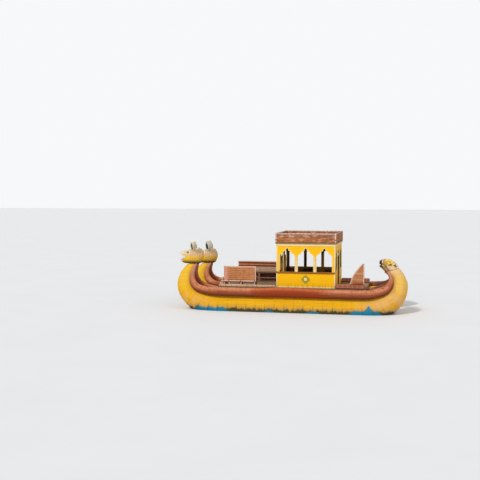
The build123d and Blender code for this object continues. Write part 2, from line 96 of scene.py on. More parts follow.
class NodeDesk:
    """A material's node tree, with short calls for the nodes this boat's finishes need."""

    def __init__(self, name: str) -> None:
        """Starts a material with a shader, its output and the Object coordinates.

        Args:
            name: the material's name.
        """
        self.material = bpy.data.materials.new(name)
        self.material.use_nodes = True
        self.tree = self.material.node_tree
        self.tree.nodes.clear()
        self.shader = self.tree.nodes.new("ShaderNodeBsdfPrincipled")
        output = self.tree.nodes.new("ShaderNodeOutputMaterial")
        self.tree.links.new(self.shader.outputs[0], output.inputs[0])
        self.place = self.node("TexCoord", {}, "Object")

    def put(self, value: object, socket: Socket) -> None:
        """Links an output to a socket, or sets a plain value on it.

        Args:
            value: a node output, a number or a tuple.
            socket: the input that receives it.
        """
        if isinstance(value, bpy.types.NodeSocket):
            self.tree.links.new(value, socket)
        elif socket.type == "RGBA":
            socket.default_value = (*value, 1.0)
        else:
            socket.default_value = value

    def node(self, kind: str, inputs: Dict[object, object], out: object = 0, **settings: object) -> Socket:
        """Adds a node.

        Args:
            kind: its type, without "ShaderNode".
            inputs: its inputs by name or number.
            out: the name or number of the output that is wanted.
            settings: its own settings.

        Returns:
            That output.
        """
        made = self.tree.nodes.new("ShaderNode" + kind)
        for name, value in settings.items():
            setattr(made, name, value)
        for name, value in inputs.items():
            self.put(value, made.inputs[name])
        return made.outputs[out]

    def uv(self) -> Socket:
        """Returns the piece's own map."""
        return self.node("UVMap", {}, uv_map="run")

    def scaled(self, vector: Socket, scale: Triple, shift: Triple = ORIGIN) -> Socket:
        """Returns a coordinate times a factor on each axis, plus a shift."""
        return self.node("Mapping", {"Vector": vector, "Scale": scale, "Location": shift})

    def noise(self, vector: Socket, scale: float, detail: float = 3.0, rough: float = 0.55) -> Socket:
        """Returns the grey value of a noise, 0 to 1: its fineness, its octaves and how much the fine ones show."""
        inputs = {"Vector": vector, "Scale": scale, "Detail": detail, "Roughness": rough}
        return self.node("TexNoise", inputs, "Fac")

    def cells(self, vector: Socket, scale: float) -> Socket:
        """Returns the distance value of a cell pattern."""
        return self.node("TexVoronoi", {"Vector": vector, "Scale": scale}, "Distance")

    def maths(self, kind: str, a: object, b: object = 0.0) -> Socket:
        """Returns the result of a plain operation on one or two values."""
        return self.node("Math", {0: a, 1: b}, operation=kind)

    def times(self, made: object, *others: object) -> Socket:
        """Returns the product of all values."""
        for value in others:
            made = self.maths("MULTIPLY", made, value)
        return made

    def plus(self, a: object, b: object) -> Socket:
        """Returns a plus b."""
        return self.maths("ADD", a, b)

    def less(self, a: object, b: object) -> Socket:
        """Returns a less b."""
        return self.maths("SUBTRACT", a, b)

    def away(self, value: object, middle: float) -> Socket:
        """Returns how far a value is from a middle."""
        return self.maths("ABSOLUTE", self.less(value, middle))

    def part(self, vector: Socket, axis: str) -> Socket:
        """Returns one axis of a coordinate: X, Y or Z."""
        return self.node("SeparateXYZ", {0: vector}, axis)

    def band(self, value: object, low: float, high: float) -> Socket:
        """Returns 0 below low, 1 above high, and a smooth slope between; low may be the greater.

        Args:
            value: what is read.
            low: where it starts.
            high: where it ends.
        """
        first, last = (1.0, 0.0) if low > high else (0.0, 1.0)
        inputs = {"Value": value, "From Min": min(low, high), "From Max": max(low, high),
                  "To Min": first, "To Max": last}
        return self.node("MapRange", inputs, "Result", interpolation_type="SMOOTHSTEP")

    def over(self, base: object, top: object, *share: object) -> Socket:
        """Returns a colour with another laid over it, as thick as the product of the shares."""
        return self.node("Mix", {0: self.times(*share), 6: base, 7: top}, 2, data_type="RGBA")

    def vector(self, kind: str, a: object, b: object = ORIGIN, out: int = 0) -> Socket:
        """Returns a vector operation's result, 0 the vector or 1 the number; for SCALE, b is the factor."""
        return self.node("VectorMath", {0: a, "Scale" if kind == "SCALE" else 1: b}, out, operation=kind)

    def flat_spot(self, spot: Socket, wobble: float) -> Socket:
        """Returns the place seen from the side, y dropped, with slightly ragged edges.

        Args:
            spot: the coordinate.
            wobble: how far edges wander, in metres.
        """
        cloud = self.node("TexNoise", {"Vector": spot, "Scale": 24.0}, "Color")
        shake = self.vector("SCALE", self.vector("SUBTRACT", cloud, (0.5, 0.5, 0.5)), wobble * 2)
        return self.vector("MULTIPLY", self.vector("ADD", spot, shake), (1.0, 0.0, 1.0))

    def mark(self, flat: Socket, mark: "Mark") -> Socket:
        """Returns 1 inside a painted mark and 0 outside.

        Args:
            flat: the place seen from the side.
            mark: the mark.
        """
        a, b = (mark.a[0], 0.0, mark.a[1]), (mark.b[0], 0.0, mark.b[1])
        from_a = self.vector("SUBTRACT", flat, a)
        if mark.a != mark.b:
            way = (b[0] - a[0], 0.0, b[2] - a[2])
            share = self.maths("DIVIDE", self.vector("DOT_PRODUCT", from_a, way, 1), way[0] ** 2 + way[2] ** 2)
            share = self.maths("MINIMUM", self.maths("MAXIMUM", share, 0.0), 1.0)
            from_a = self.vector("SUBTRACT", from_a, self.vector("SCALE", way, share))
        scaled = self.vector("MULTIPLY", from_a, (1.0 / mark.size[0], 0.0, 1.0 / mark.size[1]))
        return self.band(self.vector("LENGTH", scaled, out=1), 1.0 + mark.soft, 1.0 - mark.soft)

    def upness(self) -> Socket:
        """Returns how far the surface faces upwards, -1 to 1."""
        return self.part(self.node("NewGeometry", {}, "Normal"), "Z")

    def bump(self, height: object, strength: float, depth: float) -> None:
        """Bumps the shader's normal by a height, as deep as depth metres."""
        made = self.node("Bump", {"Strength": strength, "Distance": depth, "Height": height})
        self.put(made, self.shader.inputs["Normal"])

    def close(self, colour: object, rough: object, specular: float) -> Finish:
        """Sets the shader's colour, roughness and gloss.

        Args:
            colour: the base colour.
            rough: the roughness.
            specular: the specular level.

        Returns:
            The finished material.
        """
        for name, value in (("Base Color", colour), ("Roughness", rough), ("Specular IOR Level", specular)):
            self.put(value, self.shader.inputs[name])
        return self.material


@dataclass(frozen=True)
class HullReed:
    """Yellow reed of the big bundles: lengthwise stalks, sun-bleached ends, growth at the waterline.

    Args:
        teal_top: how high the blue-green reaches amidships.
        teal_lift: how much higher it reaches near both ends.
        peaks: where it rises to a point: x, half width, rise.
    """

    name: str = "hull_reed"
    bright: Colour = (0.86, 0.475, 0.006)
    deep: Colour = (0.66, 0.300, 0.006)
    groove: Colour = (0.34, 0.130, 0.004)
    pale: Colour = (0.79, 0.500, 0.115)
    lemon: Colour = (0.80, 0.500, 0.050)
    # painted shade beside the stern roll's inner edge
    roll_edge_shade: Colour = (0.44, 0.200, 0.045)
    blush: Colour = (0.76, 0.510, 0.250)
    bleached: Colour = (0.72, 0.41, 0.15)
    silt: Colour = (0.36, 0.235, 0.11)
    weed: Colour = (0.030, 0.036, 0.010)
    teal: Colour = (0.010, 0.200, 0.330)
    teal_top: float = 0.450
    teal_lift: float = 0.155
    peaks: Tuple[Triple, ...] = ((-3.0, 0.19, 0.20), (-0.95, 0.40, 0.09), (0.70, 0.34, 0.08))

    def build(self) -> Finish:
        """Makes the material."""
        d = NodeDesk(self.name)
        run, x, z = d.uv(), d.part(d.place, "X"), d.part(d.place, "Z")
        stalks = d.noise(d.scaled(run, (0.9, 62.0, 1.0)), 1.0, 2.0)
        fine = d.noise(d.scaled(run, (2.2, 210.0, 1.0)), 1.0, 2.0)
        sheaves = d.noise(d.scaled(run, (0.35, 9.0, 1.0)), 1.0, 3.0)
        patches = d.noise(d.place, 0.9, 4.0)
        colour = d.over(self.deep, self.bright, d.band(stalks, 0.35, 0.7))
        colour = d.over(colour, self.bright, d.band(sheaves, 0.42, 0.68), 0.35)
        colour = d.over(colour, self.deep, d.band(patches, 0.5, 0.75), 0.3)
        # the upper ends, each in its own tone
        by_sheaf = d.plus(0.55, d.times(d.band(sheaves, 0.2, 0.6), 0.35))
        colour = d.over(colour, self.pale, d.band(x, -2.9, -3.8), d.band(z, 0.8, 1.5), by_sheaf)
        colour = d.over(colour, self.lemon, d.band(x, 2.9, 3.6), d.band(z, 0.9, 1.7), 0.7)
        colour = d.over(colour, self.blush, d.band(x, -3.35, -3.60), d.band(z, 1.66, 2.02), 0.8)
        # painted shade on the hull along the inner edge of the stern's roll
        colour = d.over(colour, self.roll_edge_shade, d.band(x, -4.04, -3.87), d.band(x, -3.2, -3.5),
                        d.band(z, 1.02, 1.25), d.band(z, 2.0, 1.7), 0.65)
        # both ends are bleached low down
        grit = d.band(d.noise(d.place, 3.5, 4.0), 0.30, 0.62)
        aft_end = d.times(d.band(x, -2.1, -3.7), d.band(z, 1.7, 0.8))
        fore_end = d.times(d.band(x, 2.6, 3.9), d.band(z, 1.20, 0.62))
        colour = d.over(colour, self.bleached, d.plus(aft_end, fore_end), grit, 0.9)
        colour = d.over(colour, self.groove, d.band(fine, 0.42, 0.3), 0.45)
        colour = d.over(colour, self.groove, d.band(stalks, 0.36, 0.27), d.band(sheaves, 0.55, 0.40), 0.55)
        # silt, weed and blue-green, one below the other
        ragged = d.times(d.noise(d.scaled(d.place, (5.0, 1.0, 0.8)), 1.6, 4.0, 0.7), 0.34)
        line = d.plus(d.less(z, 0.66), ragged)
        colour = d.over(colour, self.silt, d.band(line, 0.18, 0.05), 0.65)
        colour = d.over(colour, self.weed, d.band(line, 0.075, -0.01), 0.92)
        aft_patch = d.times(d.band(x, -3.55, -3.25), d.band(x, -2.2, -2.5))
        fore_patch = d.times(d.band(x, 2.1, 2.5), d.band(x, 3.75, 3.4))
        reach = d.plus(self.teal_top, d.times(d.plus(aft_patch, fore_patch), self.teal_lift))
        for middle, half, rise in self.peaks:
            reach = d.plus(reach, d.times(d.band(d.away(x, middle), half, 0.0), rise))
        edge = d.plus(d.less(z, reach), d.times(ragged, 0.5))
        colour = d.over(colour, self.teal, d.band(edge, 0.06, 0.0), 0.95)
        d.bump(d.plus(d.plus(stalks, d.times(sheaves, 1.4)), d.times(fine, 0.35)), 0.6, 0.012)
        return d.close(colour, d.plus(0.66, d.times(stalks, 0.2)), 0.12)


@dataclass(frozen=True)
class RollReed:
    """Terracotta reed of the gunwale rolls: a painted highlight on the salmon crown, painted shade on the underside,
    rust red amidships with painted light on its upward faces.
    """

    name: str = "roll_reed"
    clay: Colour = (0.46, 0.125, 0.048)
    dark: Colour = (0.17, 0.038, 0.014)
    red: Colour = (0.27, 0.036, 0.008)
    crown_highlight: Colour = (0.63, 0.245, 0.125)
    rust: Colour = (0.53, 0.115, 0.030)
    pale: Colour = (0.62, 0.325, 0.200)
    shade: Colour = (0.060, 0.022, 0.014)

    def build(self) -> Finish:
        """Makes the material."""
        d = NodeDesk(self.name)
        run, up = d.uv(), d.upness()
        x, y, z = (d.part(d.place, axis) for axis in "XYZ")
        stalks = d.noise(d.scaled(run, (1.1, 75.0, 1.0)), 1.0, 2.0)
        fine = d.noise(d.scaled(run, (2.6, 230.0, 1.0)), 1.0, 2.0)
        patches = d.noise(d.place, 2.2, 4.0)
        crown_light_patches = d.band(d.noise(d.place, 5.0, 3.0), 0.2, 0.55)
        colour = d.over(self.dark, self.clay, d.band(stalks, 0.32, 0.7))
        # painted shade on the downward faces
        colour = d.over(colour, self.dark, d.band(up, 0.0, -0.60), 0.9)
        # a painted highlight on the upward faces, in patches
        colour = d.over(colour, self.crown_highlight, d.band(up, 0.0, 0.75), crown_light_patches, 0.9)
        edge = d.plus(x, d.times(d.less(patches, 0.5), 1.1))
        # the dyed red amidships, darker on its sides and underside and lighter on its upward faces as painted light
        amidships = d.over(self.red, self.rust, d.band(up, 0.25, 0.9))
        colour = d.over(colour, amidships, d.band(edge, -1.7, -1.2), d.band(edge, 1.5, 1.0), 0.9)
        colour = d.over(colour, self.pale, d.band(z, 1.45, 2.0), d.band(stalks, 0.25, 0.6), 0.7)
        colour = d.over(colour, self.shade, d.band(y, 0.0, -0.3), d.band(x, -2.7, -3.2),
                        d.band(z, 2.0, 1.6), 0.75)
        colour = d.over(colour, self.dark, d.band(fine, 0.44, 0.3), 0.5)
        d.bump(d.plus(d.plus(stalks, patches), d.times(fine, 0.4)), 0.55, 0.01)
        return d.close(colour, 0.78, 0.12)


@dataclass(frozen=True)
class Mark:
    """A painted place on a head, seen from the side.

    Args:
        a: its middle, or the start of its stroke, x and z.
        b: the end of its stroke; the same as a for a round mark.
        size: half width of the stroke, or of the mark in x and z.
        colour: its colour.
        soft: the share of its size over which it fades.
    """

    a: Pair
    b: Pair
    size: Pair
    colour: Colour
    soft: float


@dataclass(frozen=True)
class HeadReed:
    """Bound reed of the heads, paler above, with painted shade on the underside, and painted marks.

    Args:
        low: the height at which the golden tone ends.
        high: the height at which the straw tone starts.
        under: the heights between which painted shade darkens the underside.
        wander: how much the tones' border wanders.
        marks: what is painted on it.
        shift: how far the marks sit from where they are written, in x and z.
    """

    name: str
    straw: Colour
    golden: Colour
    shade: Colour
    flush: Colour
    low: float
    high: float
    under: Pair
    wander: float
    marks: Tuple[Mark, ...] = ()
    shift: Pair = (0.0, 0.0)

    def build(self) -> Finish:
        """Makes the material."""
        d = NodeDesk(self.name)
        run = d.uv()
        spot = d.scaled(d.place, (1, 1, 1), (-self.shift[0], 0, -self.shift[1]))
        stalks = d.noise(d.scaled(run, (2.0, 60.0, 1.0)), 1.0, 2.0)
        fine = d.noise(d.scaled(run, (5.0, 220.0, 1.0)), 1.0, 2.0)
        patches = d.noise(spot, 6.0, 4.0)
        z = d.part(spot, "Z")
        height = d.plus(z, d.times(d.less(patches, 0.5), self.wander))
        colour = d.over(self.golden, self.straw, d.band(height, self.low, self.high))
        colour = d.over(colour, self.shade, d.band(stalks, 0.46, 0.28), 0.35)
        colour = d.over(colour, self.shade, d.band(fine, 0.44, 0.3), 0.4)
        colour = d.over(colour, self.flush, d.band(patches, 0.48, 0.68), 0.50)
        # painted shade on the underside
        colour = d.over(colour, self.shade, d.band(z, self.under[1], self.under[0]), 0.92)
        flat = d.flat_spot(spot, 0.010)
        for mark in self.marks:
            colour = d.over(colour, mark.colour, d.mark(flat, mark))
        d.bump(d.plus(d.plus(stalks, patches), d.times(fine, 0.4)), 0.5, 0.008)
        return d.close(colour, 0.74, 0.15)


@dataclass(frozen=True)
class PlainReed:
    """Dry reed in one or two tones, on matting, seats, bindings and twine.

    Args:
        fine: stalks per metre, roughly.
        blotch: the colour of large bleached or stained places.
        wet: the colour that it takes near the waterline.
    """

    name: str
    light: Colour
    dark: Colour
    grain: Grain = Grain.ALONG_UV
    fine: float = 60.0
    rough: float = 0.8
    blotch: Optional[Colour] = None
    wet: Optional[Colour] = None

    def build(self) -> Finish:
        """Makes the material."""
        d = NodeDesk(self.name)
        source = d.uv() if self.grain is Grain.ALONG_UV else d.place
        stalks = d.noise(d.scaled(source, self.grain.stretch(2.0, self.fine)), 1.0, 2.0)
        patches = d.noise(d.place, 3.0, 4.0)
        colour = d.over(self.dark, self.light, d.band(stalks, 0.35, 0.66))
        colour = d.over(colour, self.dark, d.band(patches, 0.48, 0.74), 0.45)
        if self.blotch is not None:
            spots = d.noise(d.scaled(d.place, (1.0, 1.0, 2.2)), 5.5, 3.0)
            colour = d.over(colour, self.blotch, d.band(spots, 0.50, 0.66), 0.8)
        if self.wet is not None:
            colour = d.over(colour, self.wet, d.band(d.part(d.place, "Z"), 0.74, 0.60))
        d.bump(stalks, 0.6, 0.006)
        return d.close(colour, self.rough, 0.2)


@dataclass(frozen=True)
class Paint:
    """Brushed paint on board or timber, with runs, grime low down and rubbed places.

    Args:
        wear: how much the chips show.
        grime_low: the height at which the grime is thickest.
        grime_high: the height at which it ends.
        inside: the colour of painted shade on the cabin's inner faces.
        spot_colour: the colour of the middle of the stepped cross.
        pier: the colour of the piers between the windows.
    """

    name: str
    colour: Colour
    worn: Colour
    grime: Colour
    rough: float = 0.45
    wear: float = 0.35
    grime_low: float = 1.30
    grime_high: float = 1.75
    inside: Optional[Colour] = None
    spot_colour: Optional[Colour] = None
    pier: Optional[Colour] = None

    def build(self) -> Finish:
        """Makes the material."""
        d = NodeDesk(self.name)
        x, y, z = (d.part(d.place, axis) for axis in "XYZ")
        from_mid = d.away(x, CABIN_MID)
        brush = d.noise(d.scaled(d.place, (9.0, 9.0, 60.0)), 1.0, 2.0)
        clouds = d.noise(d.place, 1.7, 4.0)
        specks = d.noise(d.place, 38.0, 3.0, 0.7)
        runs = d.noise(d.scaled(d.place, (22.0, 22.0, 1.6)), 1.0, 3.0)
        chips = d.times(d.band(specks, 0.66, 0.72), self.wear)
        foot = d.band(z, self.grime_high, self.grime_low)
        colour = d.over(self.colour, self.worn, d.band(clouds, 0.4, 0.7), 0.30)
        colour = d.over(colour, self.worn, d.band(brush, 0.55, 0.8), 0.25)
        colour = d.over(colour, self.grime, chips)
        colour = d.over(colour, self.grime, foot, d.band(runs, 0.35, 0.65), 0.55)
        if self.spot_colour is not None:
            near = d.maths("MAXIMUM", from_mid, d.away(z, CROSS_HIGH))
            colour = d.over(colour, self.spot_colour, d.band(near, 0.058, 0.050))
        if self.pier is not None:
            colour = d.over(colour, self.pier, d.band(d.away(from_mid, PIER_OFF), 0.058, 0.050),
                            d.band(z, 2.46, 2.40), d.band(z, 1.86, 1.91))
        # painted shade: the cabin's inner faces darkened nearly to black
        if self.inside is not None:
            tone = d.over(self.inside, self.grime, d.band(clouds, 0.4, 0.7))
            colour = d.over(colour, tone, d.band(d.away(y, 0.0), 1.182, 1.178), d.band(from_mid, 1.084, 1.080))
        d.bump(d.plus(brush, d.times(chips, -1.0)), 0.25, 0.003)
        return d.close(colour, d.plus(self.rough, d.times(clouds, 0.25)), 0.12)


@dataclass(frozen=True)
class Timber:
    """Bare or stained boards with grain, knots and weathering."""

    name: str
    light: Colour
    dark: Colour
    grain: Grain = Grain.ALONG_X
    rough: float = 0.75

    def build(self) -> Finish:
        """Makes the material."""
        d = NodeDesk(self.name)
        close, mid, wide = (d.scaled(d.place, self.grain.stretch(1.5 * share, 40.0 * share))
                            for share in (1.0, 0.25, 0.06))
        grain = d.noise(close, 1.0, 3.0)
        colour = d.over(self.dark, self.light, d.band(grain, 0.3, 0.7))
        colour = d.over(colour, self.light, d.band(d.noise(mid, 1.0, 1.0), 0.35, 0.65), 0.5)
        colour = d.over(colour, self.dark, d.band(d.cells(wide, 1.6), 0.12, 0.04), 0.8)
        d.bump(grain, 0.4, 0.004)
        return d.close(colour, self.rough, 0.25)


@dataclass(frozen=True)
class Flat:
    """Small painted details: eyes, mouths, noses."""

    name: str
    colour: Colour
    rough: float = 0.5

    def build(self) -> Finish:
        """Makes the material."""
        d = NodeDesk(self.name)
        clouds = d.noise(d.place, 25.0, 3.0)
        lift = tuple(min(1.0, c * 1.35 + 0.01) for c in self.colour)
        colour = d.over(self.colour, lift, d.band(clouds, 0.45, 0.75))
        d.bump(clouds, 0.3, 0.003)
        return d.close(colour, self.rough, 0.18)


class Finishes:
    """Every finish of the boat, made once and handed out by name."""

    WHITE, CREAM, ROSE = (0.70, 0.63, 0.50), (0.80, 0.66, 0.46), (0.74, 0.52, 0.44)
    BROWN, SHADOW_BROWN = (0.20, 0.085, 0.020), (0.070, 0.030, 0.028)
    BOW_MARKS = (
        Mark((3.45, 2.53), (3.95, 2.50), (0.075, 0.060), (0.66, 0.40, 0.22), 0.7),
        Mark((3.64, 2.67), (3.50, 2.62), (0.100, 0.070), (0.38, 0.26, 0.15), 0.8),
        Mark((4.25, 2.58), (4.25, 2.58), (0.160, 0.10), WHITE, 0.35),
        Mark((4.20, 2.25), (4.27, 2.27), (0.055, 0.050), WHITE, 0.4),
        Mark((3.93, 2.575), (3.93, 2.575), (0.110, 0.075), CREAM, 0.5),
        Mark((3.93, 2.572), (3.93, 2.572), (0.055, 0.045), (0.16, 0.12, 0.025), 0.4),
        Mark((3.69, 2.72), (3.56, 2.74), (0.060, 0.040), (0.62, 0.60, 0.46), 0.6),
    )
    STERN_MARKS = (
        Mark((-3.60, 2.08), (-3.95, 2.10), (0.100, 0.075), (0.80, 0.58, 0.40), 0.6),
        Mark((-3.98, 2.25), (-4.09, 2.02), (0.045, 0.045), (0.84, 0.66, 0.52), 0.6),
        Mark((-3.70, 2.475), (-3.50, 2.455), (0.040, 0.028), (0.84, 0.72, 0.60), 0.5),
        Mark((-3.47, 2.42), (-3.48, 2.32), (0.040, 0.040), ROSE, 0.5),
        Mark((-3.575, 2.20), (-3.590, 2.16), (0.050, 0.050), (0.30, 0.17, 0.06), 0.7),
        Mark((-3.54, 2.11), (-3.58, 2.01), (0.030, 0.030), ROSE, 0.4),
        Mark((-3.70, 2.31), (-3.60, 2.31), (0.075, 0.065), (0.50, 0.30, 0.03), 0.5),
        Mark((-3.675, 2.292), (-3.675, 2.292), (0.048, 0.036), (0.86, 0.58, 0.08), 0.4),
        Mark((-3.560, 2.43), (-3.507, 2.37), (0.016, 0.016), BROWN, 0.4),
        Mark((-3.507, 2.37), (-3.520, 2.27), (0.016, 0.016), BROWN, 0.4),
        Mark((-3.637, 2.280), (-3.650, 2.272), (0.016, 0.016), BROWN, 0.5),
        Mark((-3.78, 2.225), (-3.70, 2.225), (0.034, 0.020), BROWN, 0.5),
        Mark((-3.62, 2.13), (-3.78, 1.90), (0.024, 0.024), (0.34, 0.16, 0.03), 0.5),
    )
    # a painted shadow darkening the starboard stern head's snout
    SNOUT_SHADOW = Mark((-3.45, 2.32), (-3.52, 2.40), (0.17, 0.17), SHADOW_BROWN, 0.45)
    BOW = ((0.69, 0.52, 0.30), (0.86, 0.52, 0.030), (0.075, 0.034, 0.005), (0.50, 0.27, 0.15),
           2.40, 2.54, (2.180, 2.310), 0.42)
    STERN = ((0.76, 0.57, 0.21), (0.80, 0.52, 0.165), (0.34, 0.16, 0.04), (0.80, 0.54, 0.30),
             2.14, 2.36, (1.72, 1.80), 0.10)
    KINDS = (
        HullReed(), RollReed(),
        HeadReed("bow_head_reed", *BOW, BOW_MARKS),
        HeadReed("stern_head_reed", *STERN, STERN_MARKS),
        HeadReed("bow_head_reed_low", *BOW, BOW_MARKS, BOW_SAG),
        HeadReed("stern_head_reed_low", *STERN, STERN_MARKS + (SNOUT_SHADOW,), STERN_SAG),
        PlainReed("hull_reed_twine", (0.82, 0.47, 0.04), (0.62, 0.33, 0.02), wet=(0.045, 0.060, 0.020)),
        PlainReed("roll_reed_twine", (0.33, 0.125, 0.055), (0.18, 0.055, 0.026)),
        PlainReed("head_twine", (0.66, 0.48, 0.24), (0.44, 0.27, 0.10)),
        PlainReed("ear_reed", (0.72, 0.64, 0.46), (0.46, 0.36, 0.20), Grain.ALONG_Z),
        PlainReed("ear_grey", (0.72, 0.68, 0.58), (0.44, 0.40, 0.32), Grain.ALONG_Z),
        PlainReed("olive_reed", (0.22, 0.17, 0.055), (0.11, 0.08, 0.03), Grain.ALONG_Z),
        PlainReed("woven_reed", (0.66, 0.32, 0.12), (0.34, 0.12, 0.045), blotch=(0.44, 0.125, 0.045)),
        PlainReed("beige_reed", (0.62, 0.50, 0.33), (0.40, 0.28, 0.17)),
        PlainReed("mauve_reed", (0.34, 0.22, 0.22), (0.18, 0.11, 0.12)),
        PlainReed("parapet_reed", (0.56, 0.220, 0.066), (0.25, 0.075, 0.025), blotch=(0.62, 0.33, 0.18)),
        PlainReed("parapet_dusty", (0.52, 0.245, 0.125), (0.20, 0.070, 0.040), blotch=(0.66, 0.42, 0.29)),
        PlainReed("rail_reed", (0.76, 0.52, 0.42), (0.54, 0.32, 0.23), Grain.ALONG_X, 90.0),
        PlainReed("salmon_reed", (0.68, 0.33, 0.22), (0.44, 0.17, 0.10), Grain.ALONG_Z),
        PlainReed("edge_reed", (0.72, 0.52, 0.34), (0.40, 0.25, 0.14), Grain.ALONG_X, 90.0,
                  blotch=(0.52, 0.31, 0.20)),
        PlainReed("mat_reed", (0.46, 0.36, 0.20), (0.27, 0.19, 0.09), Grain.ALONG_X, 90.0),
        PlainReed("seat_reed", (0.46, 0.155, 0.080), (0.20, 0.055, 0.030)),
        # cabin_yellow's inside colour is painted shade on the cabin's inner faces
        Paint("cabin_yellow", (0.92, 0.495, 0.003), (0.82, 0.40, 0.006), (0.36, 0.19, 0.03), wear=0.25,
              grime_high=1.50, inside=(0.030, 0.010, 0.008), pier=(0.76, 0.50, 0.16)),
        Paint("cream_trim", (0.86, 0.66, 0.30), (0.76, 0.54, 0.22), (0.42, 0.28, 0.12), grime_high=1.4),
        Paint("bead_cream", (0.86, 0.68, 0.30), (0.74, 0.55, 0.22), (0.46, 0.32, 0.14), grime_high=1.4),
        Paint("sill_brown", (0.30, 0.105, 0.022), (0.38, 0.16, 0.045), (0.10, 0.04, 0.018),
              grime_low=1.80, grime_high=1.88),
        Paint("dark_red", (0.15, 0.018, 0.012), (0.22, 0.05, 0.03), (0.05, 0.02, 0.012)),
        Paint("leaf_green", (0.32, 0.28, 0.032), (0.42, 0.36, 0.06), (0.18, 0.14, 0.02), grime_high=1.4,
              spot_colour=(0.84, 0.70, 0.22)),
        Timber("deck_wood", (0.30, 0.185, 0.095), (0.13, 0.070, 0.035), Grain.ALONG_Y),
        Timber("seat_wood", (0.36, 0.17, 0.10), (0.16, 0.065, 0.038)),
        Timber("beam_wood", (0.26, 0.16, 0.09), (0.12, 0.07, 0.035), Grain.ALONG_Y),
        Timber("pale_pole", (0.76, 0.53, 0.43), (0.54, 0.33, 0.25), Grain.ALONG_Z),
        Timber("pale_rail", (0.76, 0.53, 0.43), (0.54, 0.33, 0.25)),
        Flat("black", (0.014, 0.011, 0.010)), Flat("white", WHITE), Flat("olive", (0.16, 0.12, 0.025)),
        Flat("mouth_red", (0.060, 0.016, 0.007)), Flat("tongue_red", (0.26, 0.05, 0.03)),
    )

    def __init__(self) -> None:
        """Builds all of them."""
        self.made: Dict[str, Finish] = {kind.name: kind.build() for kind in self.KINDS}

    def __getitem__(self, name: str) -> Finish:
        """Returns the finish of that name."""
        return self.made[name]


class Lie(Enum):
    """How a piece made along X from the origin is laid: the axis and the angle of its turn."""

    ALONG = ("X", 0.0)
    FLAT = ("X", -QUARTER)
    UPRIGHT = ("Y", -QUARTER)
    ACROSS = ("Z", QUARTER)


